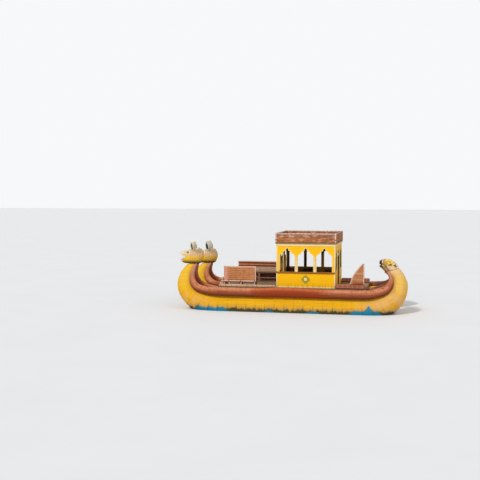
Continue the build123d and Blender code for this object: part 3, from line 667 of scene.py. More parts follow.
class Bench:
    """Modelling steps on one piece at a time, with Blender's own operators."""

    SHARP = 0.7

    @staticmethod
    def clear() -> None:
        """Leaves edit mode and selects nothing."""
        if bpy.context.object is not None and bpy.context.object.mode != "OBJECT":
            bpy.ops.object.mode_set(mode="OBJECT")
        bpy.ops.object.select_all(action="DESELECT")

    @staticmethod
    def only(piece: Piece) -> None:
        """Selects one piece and makes it active."""
        Bench.clear()
        piece.select_set(True)
        bpy.context.view_layer.objects.active = piece

    @staticmethod
    def edit(piece: Piece) -> None:
        """Opens a piece in edit mode, all of it selected."""
        Bench.only(piece)
        bpy.ops.object.mode_set(mode="EDIT")
        bpy.ops.mesh.select_mode(type="VERT")
        bpy.ops.mesh.select_all(action="SELECT")

    @staticmethod
    def pick(piece: Piece, test: Callable[[Vector], bool], mode: str = "VERT") -> None:
        """Selects, in edit mode, what passes a test on its place.

        Args:
            piece: the piece in edit mode.
            test: says yes or no for a vertex or for a face's middle.
            mode: VERT or FACE.
        """
        bpy.ops.mesh.select_mode(type=mode)
        bpy.ops.mesh.select_all(action="DESELECT")
        mesh = bmesh.from_edit_mesh(piece.data)
        for item in mesh.verts if mode == "VERT" else mesh.faces:
            spot = item.co if mode == "VERT" else item.calc_center_median()
            if test(piece.matrix_world @ spot):
                item.select_set(True)
        mesh.select_flush_mode()
        bmesh.update_edit_mesh(piece.data)

    @staticmethod
    def pick_numbers(piece: Piece, numbers: Sequence[int]) -> None:
        """Selects, in edit mode, the vertices of those numbers alone."""
        mesh = bmesh.from_edit_mesh(piece.data)
        mesh.verts.ensure_lookup_table()
        for vert in mesh.verts:
            vert.select_set(False)
        for number in numbers:
            mesh.verts[number].select_set(True)
        mesh.select_flush_mode()
        bmesh.update_edit_mesh(piece.data)

    @staticmethod
    def turn(angle: float, axis: str, centre: Triple = ORIGIN) -> None:
        """Turns the selection about a point, by the right-hand rule, in radians."""
        bpy.ops.transform.rotate(value=-angle, orient_axis=axis, center_override=centre)

    @staticmethod
    def scale(value: Triple, centre: Triple) -> None:
        """Scales the selection about a point."""
        bpy.ops.transform.resize(value=value, center_override=centre)

    @staticmethod
    def slide(value: Triple) -> None:
        """Moves the selection."""
        bpy.ops.transform.translate(value=value)

    @staticmethod
    def lay(piece: Piece, lie: Lie, move: Triple) -> Piece:
        """Turns a piece made along X, then moves it.

        Args:
            piece: the piece.
            lie: how it is turned about the origin.
            move: how far it goes.

        Returns:
            The same piece.
        """
        axis, angle = lie.value
        Bench.edit(piece)
        if angle:
            Bench.turn(angle, axis)
        Bench.slide(move)
        Bench.clear()
        return piece

    @staticmethod
    def apply_all(piece: Piece) -> None:
        """Applies every modifier of a piece, and its place."""
        Bench.only(piece)
        for modifier in list(piece.modifiers):
            bpy.ops.object.modifier_apply(modifier=modifier.name)
        bpy.ops.object.transform_apply(location=True, rotation=True, scale=True)

    @staticmethod
    def smooth(piece: Piece, levels: int = 0) -> None:
        """Subdivides a piece a number of times, applies its place and shades it smooth."""
        if levels:
            modifier = piece.modifiers.new("smooth", "SUBSURF")
            modifier.levels = modifier.render_levels = levels
        Bench.apply_all(piece)
        bpy.ops.object.shade_smooth()

    @staticmethod
    def bevel(piece: Piece, width: float, segments: int) -> None:
        """Rounds a piece's sharp edges with an applied modifier.

        Args:
            piece: the piece.
            width: the bevel's width.
            segments: its steps.
        """
        modifier = piece.modifiers.new("round", "BEVEL")
        modifier.width = width
        modifier.segments = segments
        modifier.limit_method = "ANGLE"
        modifier.angle_limit = 0.6
        Bench.apply_all(piece)
        bpy.ops.object.shade_smooth_by_angle(angle=Bench.SHARP)

    @staticmethod
    def copy(piece: Piece, move: Triple = ORIGIN, angle: float = 0.0, mirrored: bool = False) -> Piece:
        """Copies a piece with its own mesh.

        Args:
            piece: the pattern.
            move: how far the copy goes.
            angle: how far it is turned about Z first.
            mirrored: whether it is mirrored from port to starboard.

        Returns:
            The copy.
        """
        Bench.only(piece)
        bpy.ops.object.duplicate()
        twin = bpy.context.object
        place = Matrix.Translation(move) @ Matrix.Rotation(angle, 4, "Z")
        if mirrored:
            place = place @ Matrix.Diagonal((1, -1, 1, 1))
        twin.matrix_world = place @ twin.matrix_world
        bpy.ops.object.transform_apply(location=True, rotation=True, scale=True)
        if mirrored:
            Bench.edit(twin)
            bpy.ops.mesh.normals_make_consistent(inside=False)
            Bench.clear()
        return twin

    @staticmethod
    def spread(pattern: Piece, moves: Sequence[Triple], angle: float = 0.0) -> List[Piece]:
        """Copies a pattern to its places and clears the pattern away.

        Args:
            pattern: what is copied.
            moves: how far each copy goes.
            angle: how far each is turned about Z first.

        Returns:
            The copies.
        """
        made = [Bench.copy(pattern, move, angle) for move in moves]
        bpy.data.objects.remove(pattern)
        return made

    @staticmethod
    def join(pieces: Sequence[Piece], name: str) -> Piece:
        """Joins pieces into one.

        Args:
            pieces: what is joined.
            name: the name of the result.

        Returns:
            The joined piece.
        """
        Bench.clear()
        for piece in pieces:
            piece.select_set(True)
        bpy.context.view_layer.objects.active = pieces[0]
        if len(pieces) > 1:
            bpy.ops.object.join()
        made = bpy.context.object
        made.name = made.data.name = name
        return made

    @staticmethod
    def box(low: Triple, high: Triple, width: float, segments: int = 2) -> Piece:
        """Makes a board or block with rounded edges.

        Args:
            low: lowest corner.
            high: highest corner.
            width: the rounding.
            segments: its steps.

        Returns:
            The block.
        """
        Bench.clear()
        middle = tuple((a + b) / 2 for a, b in zip(low, high))
        bpy.ops.mesh.primitive_cube_add(size=1.0, location=middle)
        made = bpy.context.object
        Bench.edit(made)
        Bench.scale(tuple(abs(b - a) for a, b in zip(low, high)), middle)
        bpy.ops.mesh.bevel(offset=width, offset_type="OFFSET", segments=segments, affect="EDGES")
        Bench.apply_all(made)
        bpy.ops.object.shade_smooth_by_angle(angle=Bench.SHARP)
        return made

    @staticmethod
    def ball(segments: int, rings: int, radius: float, centre: Triple) -> Piece:
        """Makes a ball and opens it in edit mode, all of it selected.

        Args:
            segments: faces round it.
            rings: faces from pole to pole.
            radius: its radius.
            centre: its middle.

        Returns:
            The ball.
        """
        Bench.clear()
        bpy.ops.mesh.primitive_uv_sphere_add(segments=segments, ring_count=rings, radius=radius, location=centre)
        made = bpy.context.object
        Bench.edit(made)
        return made

    @staticmethod
    def second(piece: Piece) -> None:
        """Gives the selected faces the piece's second finish."""
        piece.active_material_index = 1
        bpy.ops.object.material_slot_assign()

    @staticmethod
    def swap(piece: Piece, old: Finish, new: Finish) -> None:
        """Changes one finish of a piece for another."""
        for slot in piece.material_slots:
            if slot.material == old:
                slot.material = new

    @staticmethod
    def cut_wedge(head: Piece, mouth: Tuple[float, float, float, float], tip: float, finish: Finish) -> None:
        """Cuts a mouth's wedge out of a head.

        Args:
            head: the head.
            mouth: the corner's x and z, then the z of the upper and lower lip at the tip.
            tip: the x at which those are given.
            finish: the finish inside the cut.
        """
        corner_x, corner_z, lip, chin = mouth
        deep = 0.4
        Bench.clear()
        bpy.ops.mesh.primitive_cylinder_add(vertices=3, radius=1.0, depth=2 * deep, location=ORIGIN)
        wedge = bpy.context.object
        Bench.edit(wedge)
        mesh = bmesh.from_edit_mesh(wedge.data)
        corners = [(corner_x, corner_z), (tip, lip), (tip, chin)]
        angles = sorted({round(math.atan2(v.co.y, v.co.x), 3) for v in mesh.verts})
        for vert in mesh.verts:
            x, z = corners[angles.index(round(math.atan2(vert.co.y, vert.co.x), 3))]
            vert.co = Vector((x, HULL_Y + math.copysign(deep, vert.co.z), z))
        bmesh.update_edit_mesh(wedge.data)
        bpy.ops.mesh.normals_make_consistent(inside=False)
        bpy.ops.mesh.bevel(offset=0.008, segments=2, affect="EDGES")
        Bench.clear()
        Bench.dress(wedge, finish)
        cut = head.modifiers.new("mouth", "BOOLEAN")
        cut.object = wedge
        cut.operation = "DIFFERENCE"
        cut.solver = "EXACT"
        cut.material_mode = "TRANSFER"
        Bench.apply_all(head)
        bpy.data.objects.remove(wedge)

    @staticmethod
    def dress(piece: Piece, *finishes: Finish) -> Piece:
        """Gives a piece its finishes, keeping which face has which slot, and returns it."""
        piece.data.materials.clear()
        for finish in finishes:
            piece.data.materials.append(finish)
        return piece

    @staticmethod
    def settle(parts: Sequence[Piece], name: str, slot: str, *nodes: str) -> None:
        """Joins parts to one finished piece, lets it ride on the boat and hides the CAD nodes it replaces.

        Args:
            parts: what it is made of.
            name: its name.
            slot: the record's material slot; not used.
            nodes: the CAD nodes it replaces.
        """
        piece = Bench.join(parts, name)
        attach(piece, "root")
        if nodes:
            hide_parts(*nodes)
        log.info("%s: %d faces", name, len(piece.data.polygons))


@dataclass(frozen=True)
class Station:
    """One ring of a bundle: its middle, its half sizes and its lean about Y."""

    x: float
    y: float
    z: float
    half_wide: float
    half_high: float
    lean: float = 0.0

    @property
    def spot(self) -> Triple:
        """Returns its middle."""
        return self.x, self.y, self.z

    def towards(self, other: "Station", share: float) -> "Station":
        """Returns the ring at a share of the way to another."""
        return Station(*(p + (q - p) * share for p, q in zip(astuple(self), astuple(other))))


def between(rows: Sequence[Row], i: int, t: float) -> Row:
    """Finds the row at share t between two rows of a table, on a smooth curve.

    Args:
        rows: the table, whose first two columns are a place.
        i: the row before.
        t: the share of the way to the next.

    Returns:
        The row there.
    """
    last = len(rows) - 1
    r0, r1, r2, r3 = rows[max(i - 1, 0)], rows[i], rows[i + 1], rows[min(i + 2, last)]
    gaps = [max(1e-6, math.dist(p[:2], q[:2])) for p, q in ((r0, r1), (r1, r2), (r2, r3))]
    made = []
    for a, b, c, d in zip(r0, r1, r2, r3):
        m1 = (c - a) * gaps[1] / (gaps[0] + gaps[1]) if b != c else 0.0
        m2 = (d - b) * gaps[1] / (gaps[1] + gaps[2]) if b != c else 0.0
        made.append((2 * t**3 - 3 * t**2 + 1) * b + (t**3 - 2 * t**2 + t) * m1
                    + (3 * t**2 - 2 * t**3) * c + (t**3 - t**2) * m2)
    return tuple(made)


def with_halves(rows: Sequence[Row]) -> List[Row]:
    """Returns a table with one more row half way between any two."""
    made = []
    for i, row in enumerate(rows[:-1]):
        made += [row, between(rows, i, 0.5)]
    return made + [rows[-1]]


def distances(spots: Sequence[Row]) -> List[float]:
    """Returns how far along a line of places each of them is."""
    made = [0.0]
    for a, b in zip(spots, spots[1:]):
        made.append(made[-1] + math.dist(a, b))
    return made


@dataclass
class Bundle:
    """A bound sheaf of reeds, drawn out ring by ring along its stations.

    Args:
        stations: its rings from one end to the other.
        sides: points in a ring.
        flute: how much every second point is drawn in, as a share.
        levels: subdivision levels of the finished piece.
    """

    stations: Sequence[Station]
    sides: int
    flute: float
    levels: int

    def build(self, *finishes: Finish) -> Piece:
        """Draws the sheaf out, closes both ends and dresses it.

        Args:
            finishes: its finishes.

        Returns:
            The sheaf, with its own map: along the run, and round the ring.
        """
        first = self.stations[0]
        Bench.clear()
        bpy.ops.mesh.primitive_circle_add(vertices=self.sides, radius=1.0, location=first.spot,
                                          rotation=(0.0, QUARTER, 0.0))
        piece = bpy.context.object
        Bench.edit(piece)
        if self.flute:
            Bench.pick_numbers(piece, range(1, self.sides, 2))
            Bench.scale((1.0 - self.flute,) * 3, first.spot)
            bpy.ops.mesh.select_all(action="SELECT")
        Bench.scale((1.0, first.half_wide, first.half_high), first.spot)
        Bench.turn(first.lean, "Y", first.spot)
        for now, nxt in zip(self.stations, self.stations[1:]):
            bpy.ops.mesh.extrude_region_move()
            Bench.turn(-now.lean, "Y", now.spot)
            Bench.scale((1.0, nxt.half_wide / now.half_wide, nxt.half_high / now.half_high), now.spot)
            Bench.turn(nxt.lean, "Y", now.spot)
            Bench.slide((nxt.x - now.x, nxt.y - now.y, nxt.z - now.z))
        last = (len(self.stations) - 1) * self.sides
        self._close_end(piece, self.stations[-1], last)
        self._close_end(piece, first, 0)
        Bench.clear()
        self._map(piece)
        Bench.edit(piece)
        bpy.ops.mesh.remove_doubles(threshold=0.00005)
        bpy.ops.mesh.select_all(action="SELECT")
        bpy.ops.mesh.normals_make_consistent(inside=False)
        Bench.clear()
        Bench.smooth(piece, self.levels)
        return Bench.dress(piece, *finishes)

    def _close_end(self, piece: Piece, end: Station, start: int) -> None:
        """Closes one end with a shallow dome of two more rings.

        Args:
            piece: the sheaf in edit mode.
            end: its end.
            start: the number of that ring's first vertex.
        """
        Bench.pick_numbers(piece, range(start, start + self.sides))
        bpy.ops.mesh.extrude_region_move()
        Bench.scale((0.6, 0.6, 0.6), end.spot)
        bpy.ops.mesh.extrude_region_move()
        bpy.ops.mesh.merge(type="CENTER")

    def _map(self, piece: Piece) -> None:
        """Writes the map named run: metres along the sheaf, metres round it.

        Args:
            piece: the sheaf.
        """
        lengths = distances([s.spot for s in self.stations])
        girth = 2 * math.pi * max(s.half_wide for s in self.stations)
        piece.data.uv_layers.new(name="run")
        for old in [u for u in piece.data.uv_layers if u.name != "run"]:
            piece.data.uv_layers.remove(old)
        layer = piece.data.uv_layers["run"]
        count = self.sides
        total = len(self.stations) * count

        def spot(index: int) -> Pair:
            """Returns the map place of a vertex by its number."""
            if index < total:
                return lengths[index // count], girth * (index % count) / count
            extra = index - total
            at = lengths[-1] if extra <= count else lengths[0]
            return at, girth * (extra % count) / count

        for face in piece.data.polygons:
            spots = [spot(piece.data.loops[i].vertex_index) for i in face.loop_indices]
            top = max(v for _, v in spots)
            for i, (u, v) in zip(face.loop_indices, spots):
                layer.data[i].uv = (u, v + girth if top - v > girth / 2 else v)


def eyeballs(spot: Triple, way: int, layers: Sequence[Tuple[float, float, Finish, float]],
             turn: float) -> List[Piece]:
    """Makes one eye of flattened balls, one within the other.

    Args:
        spot: its middle.
        way: 1 to port, -1 to starboard.
        layers: radius, depth, finish and how far each ball is shifted out, up and forward.
        turn: how far it looks forward and up, in degrees.

    Returns:
        The balls.
    """
    made = []
    for radius, depth, finish, out in layers:
        ball = Bench.ball(20, 10, radius, (spot[0] + out, spot[1] + way * out, spot[2] + out))
        Bench.scale((1.0, depth / radius, 0.87), spot)
        Bench.turn(way * math.radians(-turn), "Z", spot)
        Bench.turn(way * math.radians(turn), "X", spot)
        Bench.smooth(ball)
        made.append(Bench.dress(ball, finish))
    return made


def ring_band(station: Station, swell: float, thick: float, sides: int, finish: Finish) -> Piece:
    """Makes one twine binding round a bundle.

    Args:
        station: where it goes round.
        swell: how far its middle line stands off the bundle.
        thick: the twine's radius.
        sides: points round the bundle.
        finish: its finish.

    Returns:
        The binding, with its own map.
    """
    Bench.clear()
    bpy.ops.mesh.primitive_torus_add(major_segments=sides, minor_segments=6, major_radius=1.0, minor_radius=thick,
                                     location=station.spot, rotation=(0.0, QUARTER, 0.0), generate_uvs=True)
    piece = bpy.context.object
    piece.data.uv_layers[0].name = "run"
    Bench.edit(piece)
    mesh = bmesh.from_edit_mesh(piece.data)
    for vert in mesh.verts:
        flat = math.hypot(vert.co.x, vert.co.y)
        grow = (flat - 1.0) / flat
        core = Vector((vert.co.x * (1 - grow), vert.co.y * (1 - grow), 0.0))
        off = vert.co - core
        vert.co = Vector((core.x * (station.half_high + swell), core.y * (station.half_wide + swell), 0.0)) + off
    bmesh.update_edit_mesh(piece.data)
    Bench.turn(station.lean, "Y", station.spot)
    Bench.smooth(piece)
    return Bench.dress(piece, finish)


@dataclass
class Hull:
    """One main bundle with its two rolls, all from one table of stations.

    Each row: outer point x, z, inner point x, z, half width of the belly, half width of the crown,
    outer roll radius, inner roll radius, the inner roll's place down the shoulder.

    Args:
        shoulder: how high the widest place is, as a share of the height.
        straight_bay: the number of the long straight bay.
        tie_step: the distance from one binding to the next.
    """

    finishes: Finishes
    shoulder: float = 0.712
    straight_bay: int = 6
    tie_step: float = 0.36
    rows: Tuple[Row, ...] = (
        (-4.080, 2.110, -3.645, 1.980, 0.185, 0.045, 0.048, 0.048, 0.50),
        (-4.305, 1.760, -3.760, 1.770, 0.260, 0.075, 0.072, 0.072, 0.50),
        (-4.390, 1.330, -3.750, 1.500, 0.360, 0.120, 0.118, 0.118, 0.50),
        (-4.220, 0.790, -3.550, 1.285, 0.470, 0.175, 0.156, 0.146, 0.55),
        (-3.720, 0.300, -3.200, 1.200, 0.560, 0.225, 0.170, 0.150, 0.66),
        (-3.080, 0.062, -2.860, 1.180, 0.600, 0.260, 0.175, 0.150, 0.80),
        (-2.170, 0.000, -2.170, 1.180, 0.600, 0.260, 0.175, 0.150, 0.80),
        (2.030, 0.000, 2.030, 1.180, 0.600, 0.260, 0.175, 0.150, 0.80),
        (2.940, 0.062, 2.720, 1.180, 0.600, 0.260, 0.175, 0.150, 0.80),
        (3.710, 0.330, 3.160, 1.200, 0.560, 0.225, 0.170, 0.150, 0.66),
        (4.220, 0.800, 3.520, 1.290, 0.470, 0.175, 0.158, 0.148, 0.55),
        (4.390, 1.290, 3.690, 1.500, 0.360, 0.120, 0.128, 0.126, 0.50),
        (4.270, 1.770, 3.715, 1.800, 0.260, 0.075, 0.092, 0.090, 0.50),
        (3.990, 2.130, 3.620, 2.130, 0.185, 0.045, 0.062, 0.062, 0.50),
    )

    def side_rows(self, side: int) -> List[Row]:
        """Returns the table of one side, PORT or STARBOARD, whose ends sag."""
        rows = list(self.rows)
        if side == STARBOARD:
            for i, share in enumerate(SAG_SHARES):
                for k, (dx, dz) in ((i, STERN_SAG), (-1 - i, BOW_SAG)):
                    r = rows[k]
                    rows[k] = (r[0] + dx * share, r[1] + dz * share, r[2] + dx * share, r[3] + dz * share) + r[4:]
        return rows

    def fine_rows(self, side: int) -> List[Row]:
        """Returns the table of one side with more rows in every bay."""
        rows, made = self.side_rows(side), []
        for i in range(len(rows) - 1):
            count = 18 if i == self.straight_bay else 4
            made += [between(rows, i, k / count) for k in range(count)]
        return made + [rows[-1]]

    def hull_station(self, row: Row, side: int) -> Station:
        """Returns the main bundle's ring at a row of one side."""
        dx, dz = row[2] - row[0], row[3] - row[1]
        high = math.hypot(dx, dz)
        low, wide = self.shoulder * high, row[4]
        radius = (wide * wide + low * low) / (2 * low)
        return Station((row[0] + row[2]) / 2, side * HULL_Y, (row[1] + row[3]) / 2,
                       radius if low > radius else wide, high / 2, math.atan2(dx, dz))

    def roll_station(self, row: Row, side: int, way: int, radius: float, down: float) -> Station:
        """Returns a roll's ring at a row.

        Args:
            row: the row.
            side: PORT or STARBOARD.
            way: 1 on the hull's port shoulder, -1 on its starboard one.
            radius: the roll's radius.
            down: its place down the shoulder.
        """
        dx, dz = row[2] - row[0], row[3] - row[1]
        high = math.hypot(dx, dz)
        run, drop = row[4] - row[5], (1 - self.shoulder) * high
        slope = math.hypot(run, drop)
        across = row[5] + down * run + radius * drop / slope
        up = high - down * drop + radius * run / slope
        x = row[0] + up * dx / high
        wave = 1.0 + 0.018 * math.sin(9.0 * x + 2.0 * way) + 0.012 * math.sin(23.0 * x)
        return Station(x, side * HULL_Y + way * across, row[1] + up * dz / high,
                       radius * wave, radius * wave, math.atan2(dx, dz))

    def tread_bulge(self, stations: Sequence[Station]) -> List[Station]:
        """Returns the outer roll's rings with the swelling beside the cabin's door, where it is stepped on."""
        middle, half, most = 0.02, 0.80, 0.034
        made = []
        for s in stations:
            share = max(0.0, 1.0 - ((s.x - middle) / half) ** 2)
            lift = most * min(1.0, 1.6 * share)
            made.append(Station(s.x, s.y, s.z + lift * 0.6,
                                s.half_wide + lift * 0.2, s.half_high + lift * 0.5, s.lean))
        return made

    def build(self) -> None:
        """Makes both hulls with their rolls and bindings."""
        for side, tag in SIDES:
            rows = self.fine_rows(side)
            hull = [self.hull_station(r, side) for r in rows]
            outer = self.tread_bulge([self.roll_station(r, side, side, r[6], 0.5) for r in rows])
            inner = [self.roll_station(r, side, -side, r[7], r[8]) for r in rows]
            for name, stations, sides, flute, tie_sides, finish in (
                    ("hull", hull, 48, 0.016, 40, "hull_reed"), ("outer_roll", outer, 20, 0.05, 20, "roll_reed"),
                    ("inner_roll", inner, 20, 0.05, 20, "roll_reed")):
                piece = Bundle(stations, sides, flute, 1).build(self.finishes[finish])
                Bench.settle([piece], f"{name}_{tag}_bundle", finish, f"{name}_{tag}")
                self.bindings(f"{name}_{tag}_twine", stations, tie_sides, finish)

    def bindings(self, name: str, stations: Sequence[Station], sides: int, slot: str) -> None:
        """Winds thin twine round a bundle, turn after turn along it.

        Args:
            name: the name of the twine.
            stations: the bundle's rings.
            sides: points round the bundle.
            slot: the record's slot of the bundle, also the twine's finish before "_twine".
        """
        lengths = distances([(s.x, s.z) for s in stations])
        made, at = [], self.tie_step / 2
        while at < lengths[-1] - 0.1:
            i = max(k for k, s in enumerate(lengths) if s <= at)
            place = stations[i].towards(stations[i + 1], (at - lengths[i]) / (lengths[i + 1] - lengths[i]))
            made.append(ring_band(place, -0.0040, 0.0055, sides, self.finishes[slot + "_twine"]))
            at += self.tie_step
        Bench.settle(made, name, slot)


@dataclass
class BowHead:
    """Feline head looking forward on the flat top of the bow.

    Each row, nape to snout: x, underside z, top z, half width.

    Args:
        underside: the lowest height of the rows, flat on the bow.
        mouth: its corner's x and z, then the z of the upper and lower lip at the tip.
        tip: the x of that tip.
        ears: place, half sizes and rim of the port head's ears, then of the starboard head's.
        eye_at: the eye's x and z.
    """

    finishes: Finishes
    rows: Tuple[Row, ...] = (
        (3.342, 2.400, 2.500, 0.060),
        (3.395, 2.235, 2.655, 0.185),
        (3.520, 2.105, 2.755, 0.270),
        (3.720, 2.080, 2.740, 0.290),
        (3.890, 2.090, 2.685, 0.262),
        (4.010, 2.118, 2.650, 0.212),
        (4.130, 2.155, 2.632, 0.165),
        (4.225, 2.195, 2.615, 0.130),
        (4.262, 2.228, 2.597, 0.095),
    )
    underside: float = 2.13
    mouth: Tuple[float, float, float, float] = (4.020, 2.400, 2.528, 2.265)
    tip: float = 4.35
    ears: Tuple[Tuple[Triple, Triple, float], ...] = (((3.762, 0.172, 2.800), (0.056, 0.118, 0.185), 0.010),
                                                      ((3.715, 0.172, 2.835), (0.110, 0.150, 0.222), 0.022))
    eye_at: Pair = (3.930, 2.572)

    def stations(self) -> List[Station]:
        """Returns the head's rings."""
        made = []
        for x, z0, z1, half in with_halves(self.rows):
            low = max(z0, self.underside + 0.004)
            made.append(Station(x, HULL_Y, (low + z1) / 2, half, (z1 - low) / 2))
        return made

    def build(self) -> None:
        """Makes the port head, and the starboard one from its mirrored copy, sagging."""
        f = self.finishes
        head = Bundle(self.stations(), 28, 0.03, 2).build(f["bow_head_reed"], f["mouth_red"])
        Bench.cut_wedge(head, self.mouth, self.tip, f["mouth_red"])
        parts = [head, self.tongue()]
        for way in (1, -1):
            parts += self.eye(way) + [self.nostril(way)]
        parts += self.lips() + self.teeth()
        parts += [ring_band(s, -0.004, 0.006, 28, f["head_twine"]) for s in self.stations()[3:8]]
        bare = Bench.join(parts, "bow_head")
        twin = Bench.copy(bare)
        port, other = (Bench.join([base] + [self.ear(way, *ear) for way in (1, -1)], "bow_head_eared")
                       for base, ear in zip((bare, twin), self.ears))
        starboard = Bench.copy(other, (BOW_SAG[0], 0.0, BOW_SAG[1]), mirrored=True)
        bpy.data.objects.remove(other)
        Bench.swap(starboard, f["bow_head_reed"], f["bow_head_reed_low"])
        Bench.swap(starboard, f["ear_reed"], f["ear_grey"])
        for piece, (_, tag) in zip((port, starboard), SIDES):
            Bench.settle([piece], f"bow_head_{tag}_reed", "head_reed", "bow_head_" + tag)

    def ear(self, way: int, spot: Triple, size: Triple, rim: float) -> Piece:
        """Makes one broad round-topped ear, hollow towards the front, the hollow black.

        Args:
            way: 1 to port, -1 to starboard.
            spot: its middle: x, how far out, z.
            size: its half sizes.
            rim: how thick its rim is round the hollow.

        Returns:
            The ear.
        """
        x, off, z = spot
        centre = (x, HULL_Y + way * off, z)
        ear = Bench.ball(24, 14, 1.0, centre)
        Bench.scale(size, centre)
        Bench.pick(ear, lambda p: p.z > z + 0.08)
        Bench.scale((0.8, 0.82, 1.0), centre)
        Bench.dress(ear, self.finishes["ear_reed"], self.finishes["black"])
        Bench.pick(ear, lambda p: p.x > x + 0.45 * size[0] and p.z > z - 0.15, "FACE")
        bpy.ops.mesh.inset(thickness=rim)
        Bench.second(ear)
        Bench.slide((-0.040, 0.0, 0.0))
        Bench.edit(ear)
        for degrees, axis in ((38 * way, "Z"), (-9 * way, "X"), (5, "Y")):
            Bench.turn(math.radians(degrees), axis, centre)
        Bench.smooth(ear, 1)
        return ear

    def side_at(self, x: float, z: float) -> float:
        """Returns how far out the head's side is at a place.

        Args:
            x: place along the boat.
            z: height.
        """
        stations = self.stations()
        a = max((s for s in stations if s.x <= x), key=lambda s: s.x)
        b = min((s for s in stations if s.x >= x), key=lambda s: s.x)
        ring = a.towards(b, 0.0 if a.x == b.x else (x - a.x) / (b.x - a.x))
        return ring.half_wide * math.sqrt(max(0.0, 1 - ((z - ring.z) / ring.half_high) ** 2))

    def lip_at(self, x: float, tip_z: float) -> float:
        """Returns the height of the mouth's edge that ends at tip_z, at a place along the boat."""
        corner_x, corner_z = self.mouth[:2]
        return corner_z + (tip_z - corner_z) * (x - corner_x) / (self.tip - corner_x)

    def eye(self, way: int) -> List[Piece]:
        """Makes one eye: an olive ring, a straw ball, a black middle, a glint.

        Args:
            way: 1 to port, -1 to starboard.

        Returns:
            The eye's pieces.
        """
        f, (x, z) = self.finishes, self.eye_at
        layers = ((0.056, 0.018, f["olive"], 0.0), (0.040, 0.026, f["head_twine"], 0.001),
                  (0.026, 0.034, f["black"], 0.003), (0.007, 0.038, f["white"], 0.006))
        return eyeballs((x, HULL_Y + way * (self.side_at(x, z) - 0.006), z), way, layers, 22.0)

    def nostril(self, way: int) -> Piece:
        """Makes one side of the nose pad.

        Args:
            way: 1 to port, -1 to starboard.

        Returns:
            The pad.
        """
        x, y, z = spot = (4.222, HULL_Y + way * 0.052, 2.562)
        pad = Bench.ball(20, 12, 0.050, spot)
        Bench.scale((0.95, 1.15, 0.85), spot)
        Bench.dress(pad, self.finishes["white"], self.finishes["black"])
        Bench.pick(pad, lambda p: p.x > x + 0.03 and abs(p.z - z) < 0.018 and abs(p.y - y) < 0.022, "FACE")
        Bench.second(pad)
        bpy.ops.mesh.inset(thickness=0.003, depth=-0.012)
        Bench.smooth(pad)
        return pad

    def lips(self) -> List[Piece]:
        """Makes the pale rolled lips along both edges of the mouth, on both sides.

        Returns:
            The lips.
        """
        corner_x, corner_z, lip, chin = self.mouth
        made = []
        for end_z in (lip, chin):
            for way in (1, -1):
                stations = []
                for i in range(7):
                    t = i / 6
                    x = corner_x + 0.012 + t * (4.246 - corner_x)
                    z = self.lip_at(x, end_z) + 0.012 * (1 if end_z > corner_z else -1)
                    size = 0.016 - 0.004 * abs(2 * t - 1)
                    y = HULL_Y + way * (self.side_at(min(x, 4.255), z) + 0.002)
                    stations.append(Station(x, y, z, size, size))
                made.append(Bundle(stations, 10, 0.0, 1).build(self.finishes["white"]))
        return made

    def tongue(self) -> Piece:
        """Makes the tongue and returns it."""
        stations = [Station(4.05 + 0.03 * i, HULL_Y, 2.362 - 0.006 * i, 0.075 - 0.009 * i, 0.016) for i in range(6)]
        return Bundle(stations, 12, 0.0, 1).build(self.finishes["tongue_red"])

    def teeth(self) -> List[Piece]:
        """Makes the fangs and the row of small teeth.

        Returns:
            The teeth.
        """
        made = []
        _, _, lip, chin = self.mouth
        for way in (1, -1):
            for x, upper, tall, radius in ((4.205, 1, 0.052, 0.013), (4.195, -1, 0.045, 0.012),
                                           (4.15, 1, 0.024, 0.009), (4.11, 1, 0.020, 0.008),
                                           (4.14, -1, 0.022, 0.009), (4.10, -1, 0.018, 0.008)):
                z = self.lip_at(x, lip if upper > 0 else chin) - upper * tall * 0.45
                y = HULL_Y + way * max(0.0, self.side_at(x, z + upper * tall) - 0.022)
                Bench.clear()
                bpy.ops.mesh.primitive_cone_add(vertices=10, radius1=radius, radius2=0.003, depth=tall,
                                                location=(x, y, z), rotation=(math.pi if upper > 0 else 0, 0, 0))
                fang = bpy.context.object
                Bench.bevel(fang, 0.002, 2)
                made.append(Bench.dress(fang, self.finishes["white"]))
        return made


